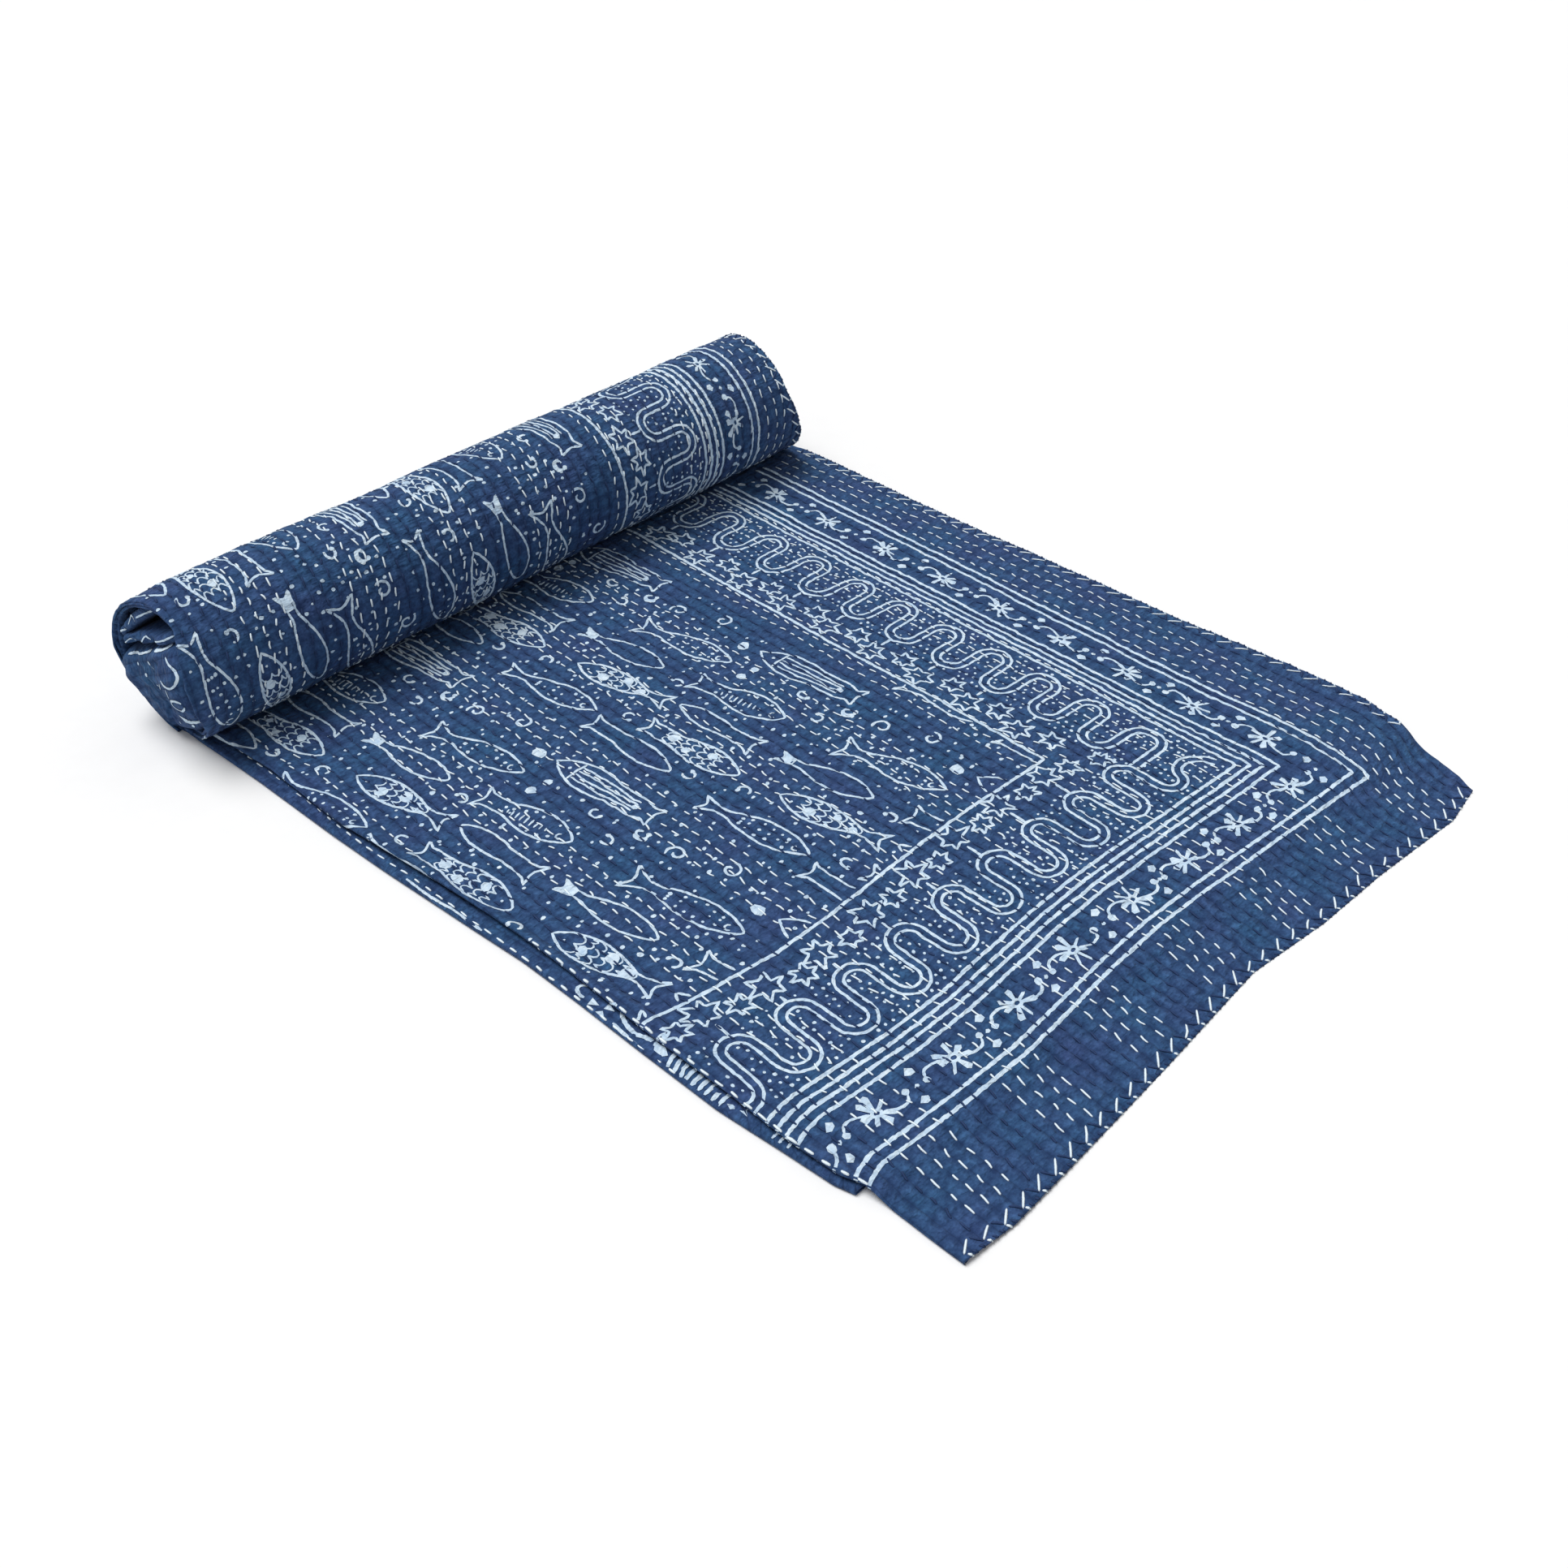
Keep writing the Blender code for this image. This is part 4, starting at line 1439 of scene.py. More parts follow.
@dataclass(frozen=True)
class Fish:
    """One printed fish: where its head and tail are, and how it is filled."""

    kind: FishKind
    head: tuple[float, float]
    tail: tuple[float, float]
    width: float = 0.46
    tail_neck: float = 0.13  # width where the tail begins
    tail_width: float = 0.4
    notch: float = 0.07  # how deep the tail is forked, as a share of the length
    stroke: float = 0.038
    body_share: float = 0.82  # share of its length before the tail
    form: Profile = Profile(
        ("share", "width"),
        ((0.0, 0.0), (0.025, 0.17), (0.07, 0.36), (0.14, 0.6), (0.22, 0.8), (0.32, 0.95),
         (0.42, 1.0), (0.53, 0.97), (0.66, 0.82), (0.78, 0.6), (0.9, 0.3), (1.0, 0.0)))

    def to_cloth(self, local: Path) -> Path:
        """Moves places from the fish's own frame.

        Args:
            local: Places; y runs from the head, 0, to the tail's end, 1.

        Returns:
            The places in the block.
        """
        head, tail = np.array(self.head), np.array(self.tail)
        along = tail - head
        side = np.array((along[1], -along[0])) / np.linalg.norm(along)
        return head + local[:, 1:] * along + local[:, :1] * side

    def half_width(self, share: Array | float) -> Array:
        """Half the body's width.

        Args:
            share: Shares of its length from the head.

        Returns:
            Half its width at each.
        """
        body = np.clip(share / self.body_share, 0.0, 1.0)
        return 0.5 * np.maximum(self.width * self.form.at("width", body),
                                self.tail_neck * np.clip((body - 0.3) * 9.0, 0.0, 1.0))

    def outline(self) -> tuple[Path, Path]:
        """The body's outline, open at the tail, and the tail's.

        Returns:
            Both paths, in the fish's own frame.
        """
        shares = np.linspace(self.body_share, 0.0, 21)
        side = np.stack((self.half_width(shares), shares), -1)
        body = np.concatenate((side, (side * (-1, 1))[::-1][1:]))
        spread, neck = 0.5 * self.tail_width, 0.5 * self.tail_neck
        tail = np.array(((-neck, self.body_share), (-0.6 * spread, 0.92), (-spread, 1.0),
                         (-0.15 * spread, 1.0 - self.notch), (0.25 * spread, 1.0 - 0.9 * self.notch),
                         (spread, 0.985), (0.65 * spread, 0.91), (neck, self.body_share)))
        return body, tail

    def draw(self, block: BlockPrint) -> None:
        """Draws the fish.

        Args:
            block: The print that takes it.
        """
        body, tail = self.outline()
        block.line(self.to_cloth(body), self.stroke)
        if self.kind is FishKind.PALE_TAIL:
            block.patch(self.to_cloth(tail))
        block.line(self.to_cloth(tail), self.stroke)
        fill = {FishKind.DOTTED: self.dots, FishKind.SCALED: self.scales, FishKind.RIBBED: self.ribs,
                FishKind.STRIPED: self.stripes}.get(self.kind)
        if fill:
            fill(block)

    def spot(self, aside: float, share: float) -> tuple[float, float]:
        """One place from the fish's own frame."""
        return tuple(self.to_cloth(np.array(((aside, share),)))[0].tolist())

    def dots(self, block: BlockPrint, columns: int = 3) -> None:
        """Fills the body with dots and a small curl.

        Args:
            block: The print that takes them.
            columns: How many dots lie side by side.
        """
        for row in range(7):
            share = 0.2 + 0.085 * row + block.random.uniform(-0.012, 0.012)
            room = float(self.half_width(share)) - 0.09
            for column in range(columns):
                aside = room * (column / (columns - 1) * 2 - 1) + block.random.uniform(-0.03, 0.03)
                if room > 0.02 and block.random.uniform() < 0.72:
                    block.dot(*self.spot(aside, share), block.random.uniform(0.02, 0.033))
        x, y = self.spot(-0.03, 0.12)
        block.line(curl(x, y, 0.055, 0.05, np.linspace(0.3, 4.4, 8)), 0.032)

    def scales(self, block: BlockPrint) -> None:
        """Fills the body with round scales and a few pale blotches behind a plain head.

        Args:
            block: The print that takes them.
        """
        arc = np.linspace(0.0, math.pi, 6)
        for row in range(7):
            share = 0.2 + 0.084 * row
            room = float(self.half_width(share)) - 0.02
            count = max(int(round(2.0 * room / 0.145)), 1)
            pitch = 2.0 * room / count
            for number in range(count + row % 2):
                middle = -room + (number + (0.0 if row % 2 else 0.5)) * pitch
                bow = curl(middle, share, 0.5 * pitch, 0.064, arc)
                bow[:, 0] = np.clip(bow[:, 0], -room, room)
                block.line(self.to_cloth(bow), 0.026)
        for share, aside in ((0.3, 0.06), (0.52, -0.07), (0.7, 0.02)):
            x, y = self.spot(aside + block.random.uniform(-0.03, 0.03), share)
            block.dot(x, y, block.random.uniform(0.065, 0.1), 1.1)
        block.dot(*self.spot(0.02, 0.12), 0.022)

    def ribs(self, block: BlockPrint) -> None:
        """Fills the body with a middle line of short ribs between dots.

        Args:
            block: The print that takes them.
        """
        for row in range(9):
            share = 0.26 + 0.05 * row
            half = 0.06 * math.sin(math.pi * (row + 1) / 10) + 0.015
            rib = np.array(((-half - 0.03, share), (half - 0.03, share + 0.01)))
            block.line(self.to_cloth(rib), 0.03)
        self.dots(block, columns=2)

    def stripes(self, block: BlockPrint) -> None:
        """Fills the body with long stripes behind a pointed head with an eye.

        Args:
            block: The print that takes them.
        """
        bar = self.half_width(0.18) * np.linspace(-0.95, 0.95, 7)
        block.line(self.to_cloth(np.stack((bar, 0.19 + 0.3 * bar * bar), -1)), 0.04)
        shares = np.linspace(0.21, 0.8, 10)
        for aside in (-0.52, -0.16, 0.2, 0.56):
            x = self.half_width(shares) * aside + 0.012 * np.sin(shares * 17.0 + 9.0 * aside)
            block.line(self.to_cloth(np.stack((x, shares), -1)), 0.034)
        block.dot(*self.spot(0.0, 0.13), 0.03)
        block.dot(*self.spot(0.02, 0.8), 0.06)


@dataclass(frozen=True)
class FieldBlock:
    """The fish field: one printed block, repeated across and along the cloth."""

    pitch_x: float = 4.1
    pitch_y: float = 4.55
    fish: tuple[Fish, ...] = (
        Fish(FishKind.DOTTED, head=(0.68, 2.55), tail=(0.36, 4.42), tail_width=0.36),
        Fish(FishKind.SCALED, head=(1.28, 3.72), tail=(1.6, 1.9), tail_width=0.42),
        Fish(FishKind.PALE_TAIL, head=(2.18, 2.7), tail=(1.92, 4.42), width=0.42, tail_width=0.28),
        Fish(FishKind.DOTTED, head=(3.06, 2.1), tail=(2.7, 3.95), tail_neck=0.16, tail_width=0.52),
        Fish(FishKind.PLAIN, head=(0.52, 0.66), tail=(0.44, 2.42), width=0.4, tail_neck=0.26,
             tail_width=0.42),
        Fish(FishKind.SCALED, head=(1.18, -0.1), tail=(0.98, 1.78), width=0.5, tail_neck=0.3,
             tail_width=0.42),
        Fish(FishKind.PLAIN, head=(1.7, 1.78), tail=(1.8, 0.16), width=0.36, tail_neck=0.26,
             tail_width=0.5),
        Fish(FishKind.RIBBED, head=(2.6, 0.42), tail=(2.28, 2.14), width=0.54, tail_neck=0.28,
             tail_width=0.5),
        Fish(FishKind.STRIPED, head=(3.58, 1.98), tail=(3.76, -0.02), width=0.56, tail_neck=0.42,
             tail_width=0.46, notch=0.04),
    )
    hooks: tuple[tuple[float, float, float], ...] = (  # x, y, angle
        (3.22, 0.66, 0.4), (2.96, 0.12, 2.6), (3.4, 4.42, 1.2), (0.92, 2.06, -0.3),
        (0.66, 0.42, 2.2), (3.36, -0.14, 0.3), (2.05, 2.25, 3.6), (0.98, 4.14, 4.4))
    spirals: tuple[tuple[float, float, float], ...] = (
        (3.46, 3.8, 2.0), (3.78, 3.08, 0.2))
    blobs: tuple[tuple[float, float, float], ...] = (  # x, y, radius
        (3.5, 2.3, 0.11), (2.88, 1.7, 0.09), (3.16, 1.68, 0.075), (1.82, 2.62, 0.05))
    dot_spacing: float = 0.235
    dot_share: float = 0.84
    dot_room: float = 0.055  # how clear of the motifs a dot lies

    def room_at(self, x: float, y: float) -> float:
        """Distance from a place in the block to the nearest fish, curl or blob.

        Args:
            x: The place's x.
            y: The place's y.

        Returns:
            The distance; below 0 inside one.
        """
        room = 10.0
        for fish in self.fish:
            head, tail = np.array(fish.head), np.array(fish.tail)
            along = tail - head
            for shift in (0.0, self.pitch_y, -self.pitch_y):
                place = np.array((x, y + shift)) - head
                share = float(np.clip(place @ along / (along @ along), 0.0, 1.0))
                gap = float(np.linalg.norm(place - share * along))
                room = min(room, gap - max(float(fish.half_width(share)), 0.1))
        for place_x, place_y, *_ in self.hooks + self.spirals + self.blobs:
            room = min(room, math.hypot(x - place_x, y - place_y) - 0.14)
        return room

    def draw(self, x0: float, y0: float, seed: int) -> BlockPrint:
        """Prints one block.

        Args:
            x0: Its left side.
            y0: Its near side.
            seed: Seed of its unevenness.

        Returns:
            The print.
        """
        block = BlockPrint(seed)
        for fish in self.fish:
            fish.draw(block)
        for x, y, angle in self.hooks:
            hook = curl(x, y, 0.085, 0.1, angle + np.linspace(0.0, 4.2, 10))
            block.line(hook, 0.044)
            block.dot(*hook[-1], 0.04)
        for x, y, angle in self.spirals:
            bend = np.linspace(0.0, 6.6, 15)
            reach = 0.045 + 0.017 * bend
            block.line(curl(x, y, reach, reach, bend + angle), 0.042)
        for x, y, radius in self.blobs:
            block.dot(x, y, radius)
        for column in range(int(self.pitch_x / self.dot_spacing)):
            for row in range(int(self.pitch_y / self.dot_spacing)):
                x = (column + block.random.uniform(0.05, 0.95)) * self.dot_spacing
                y = (row + block.random.uniform(0.05, 0.95)) * self.dot_spacing
                wanted = block.random.uniform() < self.dot_share
                if wanted and self.room_at(x, y) > self.dot_room:
                    block.dot(x, y, block.random.uniform(0.024, 0.041), 0.8)
        return block.moved(lambda path: path + (x0, y0))


@dataclass(frozen=True)
class BorderRun:
    """One side of the printed border, drawn along a straight run and then laid in its place."""

    start: float  # where the run begins and ends
    end: float
    field_bulges: tuple[float, ...]  # where the meander bulges towards the field
    edge_bulges: tuple[float, ...]  # and where towards the quilt's edge
    flowers: tuple[float, ...]
    stars: tuple[tuple[float, float, float], ...]  # place along, distance inside, radius
    away: float  # which way along the run the printed corner is left behind
    lead: tuple[tuple[float, float], ...] = ()  # the meander's first points
    close: tuple[tuple[float, float], ...] = ()  # and its last
    low: float = 1.66  # the meander's middle line, nearest the edge
    high: float = 2.58  # and nearest the field
    twin: float = 0.066  # half the distance between its two outlines
    stroke: float = 0.043
    dot_low: float = 1.54  # the rows of dots between the lines
    dot_row: float = 0.125
    dot_rows: int = 10
    dot_pitch: float = 0.14
    dot_share: float = 0.86  # how many of them are printed
    dot_room: float = 0.125  # how clear of the meander they lie
    bud_pitch: float = 1.27  # from the last flower to where the next would be

    def meander(self) -> Path:
        """The meander's middle line: straight sides joined by half circles.

        Returns:
            Its points as places along the run and distances inside the border.
        """
        bulges = sorted([(place, self.high) for place in self.field_bulges]
                        + [(place, self.low) for place in self.edge_bulges])
        points = list(self.lead)
        for (before, _), (place, level), (after, _) in zip(bulges, bulges[1:], bulges[2:]):
            left, right = 0.5 * (before + place), 0.5 * (place + after)
            radius, middle = 0.5 * (right - left), 0.5 * (left + right)
            turn = 1.0 if level == self.high else -1.0
            for step in range(9):
                angle = math.pi * (1.0 - step / 8)
                points.append((middle + radius * math.cos(angle),
                               level - turn * radius + turn * radius * math.sin(angle)))
        return np.array(points + list(self.close))

    def draw(self, seed: int) -> BlockPrint:
        """Prints the run.

        Args:
            seed: Seed of its unevenness.

        Returns:
            The print, with x along the run and y the distance inside the border.
        """
        block = BlockPrint(seed)
        middle = even_steps(self.meander(), 0.05)
        slope = np.gradient(middle, axis=0)
        for side in (-self.twin, self.twin):
            block.line(middle + side * unit(left_of(slope)), self.stroke)
        spots = np.array([(x + 0.5 * self.dot_pitch * (row % 2), self.dot_low + self.dot_row * row)
                          for x in np.arange(self.start, self.end, self.dot_pitch)
                          for row in range(self.dot_rows)])
        spots += block.random.uniform(-0.028, 0.028, spots.shape)
        gaps = np.linalg.norm(spots[:, None] - middle[None], axis=-1).min(axis=1)
        wanted = (gaps > self.dot_room) & (block.random.uniform(size=len(spots)) < self.dot_share) \
            & (self.away * spots[:, 0] > spots[:, 1])
        for x, y in spots[wanted]:
            block.dot(x, y, block.random.uniform(0.018, 0.03))
        for place, inside, radius in self.stars:
            self.star(block, place, inside, radius)
            if radius > 0.22:
                block.line(((place, self.high + 0.05), (place, inside - radius)), 0.044)
        for place, after in zip(self.flowers, self.flowers[1:] + (self.flowers[-1] + self.bud_pitch,)):
            self.flower(block, place)
            self.buds(block, 0.5 * (place + after))
        return block

    def star(self, block: BlockPrint, x: float, y: float, radius: float) -> None:
        """A hollow star with six uneven points.

        Args:
            block: The print that takes it.
            x: Its middle's x.
            y: Its middle's y.
            radius: Its points' mean distance from the middle.
        """
        tips = []
        for point in range(12):
            angle = math.pi * point / 6 + block.random.uniform(-0.13, 0.13)
            reach = radius * block.random.uniform(*((0.46, 0.6) if point % 2 else (1.02, 1.34)))
            tips.append((x + reach * math.cos(angle), y + 0.92 * reach * math.sin(angle)))
        block.line(tips, 0.04, closed=True)

    def flower(self, block: BlockPrint, x: float, y: float = 0.575) -> None:
        """A flower of uneven arms round a small eye, with a tendril and a bud on each side.

        Args:
            block: The print that takes it.
            x: Its middle's x.
            y: Its middle's y.
        """
        block.line(curl(x, y, 0.07, 0.06, np.linspace(0.0, 2.0 * math.pi, 8)[:-1]), 0.046, True)
        middle = np.array((x, y))
        for arm in range(7):
            angle = 0.39 + math.pi * arm / 3.5 + block.random.uniform(-0.2, 0.2)
            reach = block.random.uniform(0.19, 0.29)
            half = block.random.uniform(0.016, 0.062)
            along = np.array((math.cos(angle), math.sin(angle)))
            block.patch([middle + out * along + aside * left_of(along) for out, aside in (
                (0.06, -0.024), (reach - 0.03, -half), (reach + 0.02, -0.5 * half),
                (reach - 0.01, half), (0.06, 0.024))])
        for turn in (-1.0, 1.0):
            tendril = [(x + turn * out, y - turn * down)
                       for out, down in ((0.08, 0.03), (0.26, 0.12), (0.41, 0.11), (0.48, 0.02))]
            block.line(smooth(tendril), 0.04)
            block.dot(x + turn * 0.49, y + turn * 0.02, block.random.uniform(0.052, 0.068))

    def buds(self, block: BlockPrint, x: float) -> None:
        """The buds between two flowers: two large ones and a dot between.

        Args:
            block: The print that takes them.
            x: Where they lie along the run.
        """
        corners = np.array(((-1.15, -0.2), (-0.3, -1), (0.9, -0.7), (1.2, 0.3), (0.1, 1.0)))
        for along, inside, radius in ((-0.08, 0.36, 0.068), (0.0, 0.57, 0.034), (0.08, 0.79, 0.07)):
            block.patch(corners * radius * block.random.uniform(0.85, 1.15, (5, 2))
                        + (x + along, inside))


@dataclass(frozen=True)
class PrintLayout:
    """The whole print on one face: the border's two sides and the fish field."""

    near: BorderRun | None
    side: BorderRun
    x_range: tuple[float, float]  # least and greatest x that the face shows
    y_range: tuple[float, float]
    seed: int  # seed of its unevenness
    block_x: float  # a field block's corner
    block_y: float
    block: FieldBlock = FieldBlock()
    last_rows: int = 0  # rows of blocks in the column beside the side border
    lines: tuple[float, ...] = (0.0, 0.18, 0.97, 1.13, 1.27, 1.42, 3.42)
    line_width: float = 0.053
    warp_depth: float = 3.45  # the warp changes from edge to field over this
    warp_start: float = 3.5  # and dies out from here, over the next length
    warp_end: float = 3.0
    near_warp: Profile = Profile(
        ("x", "edge", "field"),
        ((-12.0, -0.3, 0.05), (-11.2, -0.24, 0.07), (-11.0, -0.13, 0.09), (-10.75, -0.01, 0.08),
         (-10.5, 0.07, 0.04), (-10.0, 0.04, -0.02),
         (-9.0, 0.0, -0.11),
         (-8.0, 0.0, -0.1), (-7.0, 0.08, -0.02), (-6.0, 0.16, 0.04), (-5.0, 0.2, 0.06),
         (-4.0, 0.17, 0.05), (-3.0, 0.12, 0.03), (-2.0, 0.07, 0.0), (-1.0, 0.02, 0.0),
         (0.0, -0.03, 0.0)))
    side_warp: Profile = Profile(
        ("y", "edge", "field"),
        ((-0.2, -0.16, -0.1), (0.5, -0.01, 0.0), (1.0, 0.06, 0.04), (1.5, 0.075, 0.06),
         (2.0, 0.03, 0.07), (3.0, -0.03, 0.09), (4.0, -0.04, 0.1), (5.5, -0.04, 0.1),
         (8.0, -0.02, 0.04), (11.0, -0.04, 0.02)))

    def calm(self, inside: Array) -> Array:
        """How much of the border's warp is left so far inside it."""
        return 1.0 - eased((inside - self.warp_start) / self.warp_end)

    def warp(self, path: Path) -> Path:
        """Where the uneven cloth takes places of the even print.

        Args:
            path: Places, as printed.

        Returns:
            The places on the cloth.
        """
        x, y = path[:, 0], path[:, 1]
        inside_y = np.clip(y / self.warp_depth, 0.0, 1.0)
        inside_x = np.clip(-x / self.warp_depth, 0.0, 1.0)
        moved_y = np.zeros_like(y)
        if self.near:
            edge, far = self.near_warp.at("edge", x), self.near_warp.at("field", x)
            moved_y = (edge + (far - edge) * inside_y) * self.calm(y)
        edge, far = self.side_warp.at("edge", y), self.side_warp.at("field", y)
        moved_x = (edge + (far - edge) * inside_x) * self.calm(-x)
        return np.stack((x + moved_x, y + moved_y), -1)

    def shown(self, path: Path) -> Array:
        """Whether the face shows places of the even print."""
        x, y = path.T
        return (x > self.x_range[0]) & (x < self.x_range[1]) \
            & (y > self.y_range[0]) & (y < self.y_range[1])

    def in_field(self, path: Path) -> Array:
        """Whether places of the even print lie in the fish field.

        Args:
            path: The places.

        Returns:
            True where they do.
        """
        clear = self.lines[-1] + 0.05
        inside = self.shown(path) & (path[:, 0] < -clear)
        return inside & (path[:, 1] > clear) if self.near else inside

    def draw(self) -> BlockPrint:
        """Draws the print.

        Returns:
            The print as it lies on the cloth.
        """
        sheet, rules = BlockPrint(self.seed), BlockPrint(self.seed)
        for inset in self.lines:
            start = [(self.x_range[0], inset), (-inset, inset)] if self.near \
                else [(-inset, self.y_range[0])]
            rules.line(start + [(-inset, self.y_range[1])], self.line_width)
        sheet.absorb(rules, self.shown, self.warp)
        if self.near:
            sheet.absorb(self.near.draw(self.seed + 2), self.shown, self.warp)
        side = self.side.draw(self.seed + 3).moved(lambda path: path[:, ::-1] * (-1.0, 1.0))
        sheet.absorb(side, self.shown, self.warp)
        block = self.block
        for column in range(-1, 2):
            for row in range(-1, self.last_rows if column == 1 else 2):
                printed = block.draw(self.block_x + column * block.pitch_x,
                                     self.block_y + row * block.pitch_y,
                                     self.seed + 10 + 3 * column + row)
                sheet.absorb(printed, self.in_field, self.warp)
        return sheet


NEAR_STARS = (
    (-11.3, 3.1, 0.25), (-10.85, 3.05, 0.19), (-10.4, 3.15, 0.25), (-9.95, 2.98, 0.19),
    (-9.5, 3.02, 0.25), (-9.0, 2.88, 0.19), (-8.6, 3.02, 0.25), (-8.1, 2.92, 0.19), (-7.6, 3.06, 0.25),
    (-7.15, 3.0, 0.19), (-6.6, 3.1, 0.25), (-6.15, 3.0, 0.19), (-5.65, 3.16, 0.25), (-5.15, 3.08, 0.19),
    (-4.7, 3.2, 0.25), (-4.2, 3.08, 0.19), (-3.75, 3.18, 0.25), (-3.3, 3.05, 0.2), (-2.8, 2.86, 0.2))


def side_stars(field: Sequence[float], edge: Sequence[float]) -> tuple[tuple[float, float, float], ...]:
    """The star chain beside the meander: a large star on each bulge and small ones between."""
    return tuple((place, 3.13, 0.25) for place in field) + tuple((place, 2.94, 0.21) for place in edge)


FLAT_PRINT = PrintLayout(
    near=BorderRun(
        start=-11.4, end=-1.55, away=-1.0, stars=NEAR_STARS,
        field_bulges=(-11.4, -10.5, -9.55, -8.58, -7.6, -6.6, -5.65, -4.7, -3.78, -2.88, -1.98),
        edge_bulges=(-10.95, -10.02, -9.08, -8.1, -7.1, -6.1, -5.1, -4.25, -3.33, -2.45),
        close=((-2.1, 1.97), (-1.95, 2.0), (-1.8, 1.96), (-1.66, 1.84), (-1.58, 1.66)),
        flowers=(-11.25, -10.0, -8.7, -7.45, -6.2, -4.85, -3.7, -2.5, -1.25)),
    side=BorderRun(
        start=1.5, end=13.2, away=1.0,
        stars=side_stars((4.2, 5.2, 6.2, 7.2, 8.2, 9.2, 10.2, 11.25, 12.3),
                         (3.65, 4.68, 5.65, 6.65, 7.65, 8.6, 9.65, 10.7, 11.85)),
        field_bulges=(2.09, 3.25, 4.2, 5.2, 6.2, 7.2, 8.2, 9.2, 10.2, 11.25, 12.3, 13.4),
        edge_bulges=(2.75, 3.75, 4.7, 5.65, 6.65, 7.65, 8.6, 9.65, 10.7, 11.85, 12.9),
        lead=((2.4, 2.62), (2.41, 2.35), (2.42, 2.1)),
        flowers=(1.5, 2.75, 4.0, 5.3, 6.6, 7.85, 9.2, 10.6, 11.9)),
    x_range=(-11.95, 1.2), y_range=(-1.0, 12.9), seed=5, block_x=-8.0, block_y=6.4)
ROLL_PRINT = PrintLayout(
    near=None,
    side=BorderRun(
        start=3.6, end=10.2, away=1.0,
        stars=side_stars((4.4, 5.42, 6.41, 7.45, 8.5, 9.5), (3.9, 4.9, 5.93, 6.97, 8.0, 9.0)),
        field_bulges=(3.4, 4.4, 5.42, 6.41, 7.45, 8.5, 9.5, 10.5),
        edge_bulges=(3.9, 4.9, 5.93, 6.97, 8.0, 9.0, 10.0),
        flowers=(3.1, 4.5, 5.83, 7.17, 8.5, 9.8)),
    x_range=(-11.6, 0.9), y_range=(3.95, 9.9), seed=50, block_x=-7.85, block_y=6.59,
    block=FieldBlock(pitch_x=3.9), last_rows=-1)


@dataclass(frozen=True)
class PrintedLayer:
    """Lays a print on a face as a thin skin of ribbons and patches."""

    face: Face
    shift_x: float = 0.0  # how far the print lies to the right, in loops
    lift: float = 0.17 * MM
    roughness: float = 0.26  # unevenness of a line's width
    end_share: float = 0.55  # its width at its ends
    line_lift: tuple[float, float] = (0.0, 0.03)  # how much higher a line lies, in mm
    patch_lift: tuple[float, float] = (0.02, 0.05)  # and a patch, so that they don't meet
    seed: int = 77

    def build(self, sheet: BlockPrint, name: str, material: Material) -> Object:
        """Makes the printed skin.

        Args:
            sheet: The print.
            name: Name of the object.
            material: Its finish.

        Returns:
            The object.
        """
        random = np.random.default_rng(self.seed)
        places, lifts, faces, count = [], [], [], 0
        for path, width, closed in sheet.lines:
            path = even_steps(np.concatenate((path, path[:1])) if closed else path)
            path = path[:-1] if closed else path
            slope = np.roll(path, -1, 0) - np.roll(path, 1, 0) if closed else np.gradient(path, axis=0)
            normal = unit(left_of(slope))
            number = len(path)
            rough = random.uniform(-1.0, 1.0, (2, number))
            half = 0.5 * width * (1.0 + self.roughness * rough)
            if not closed:
                half[:, [0, -1]] *= self.end_share
            ribbon = np.stack((path + half[0][:, None] * normal, path,
                               path - half[1][:, None] * normal), 1)
            places.append(ribbon.reshape(-1, 2))
            lifts.append(np.full(3 * number, self.lift + random.uniform(*self.line_lift) * MM))
            first = 3 * np.arange(number if closed else number - 1)
            after = (first + 3) % (3 * number)
            for edge in (0, 1):
                faces.append(np.stack((first + edge, first + edge + 1, after + edge + 1,
                                       after + edge), -1) + count)
            count += 3 * number
        for path in sheet.patches:
            middle = path.mean(axis=0)
            number = len(path)
            turned = np.sum(path[:, 0] * np.roll(path[:, 1], -1) - path[:, 1] * np.roll(path[:, 0], -1))
            path = path if turned > 0 else path[::-1]
            rings = np.concatenate((path, 0.5 * (path + middle), middle[None]))
            places.append(rings)
            lifts.append(np.full(2 * number + 1, self.lift + random.uniform(*self.patch_lift) * MM))
            first = np.arange(number)
            after = (first + 1) % number
            faces.append(np.stack((first, after, after + number, first + number), -1) + count)
            hub = np.full(number, 2 * number)
            faces.append(np.stack((first + number, after + number, hub, np.full(number, -1 - count)),
                                  -1) + count)
            count += 2 * number + 1
        cloth = np.concatenate(places) * LOOP + (self.shift_x * LOOP, 0.0)
        points = lifted(self.face, cloth[:, 0], cloth[:, 1], np.concatenate(lifts))
        piece = Piece(name)
        cloth[:, 0] = self.face.cloth.even(cloth[:, 0], cloth[:, 1])
        piece.add(points, np.concatenate(faces), cloth)
        return piece.build(material)


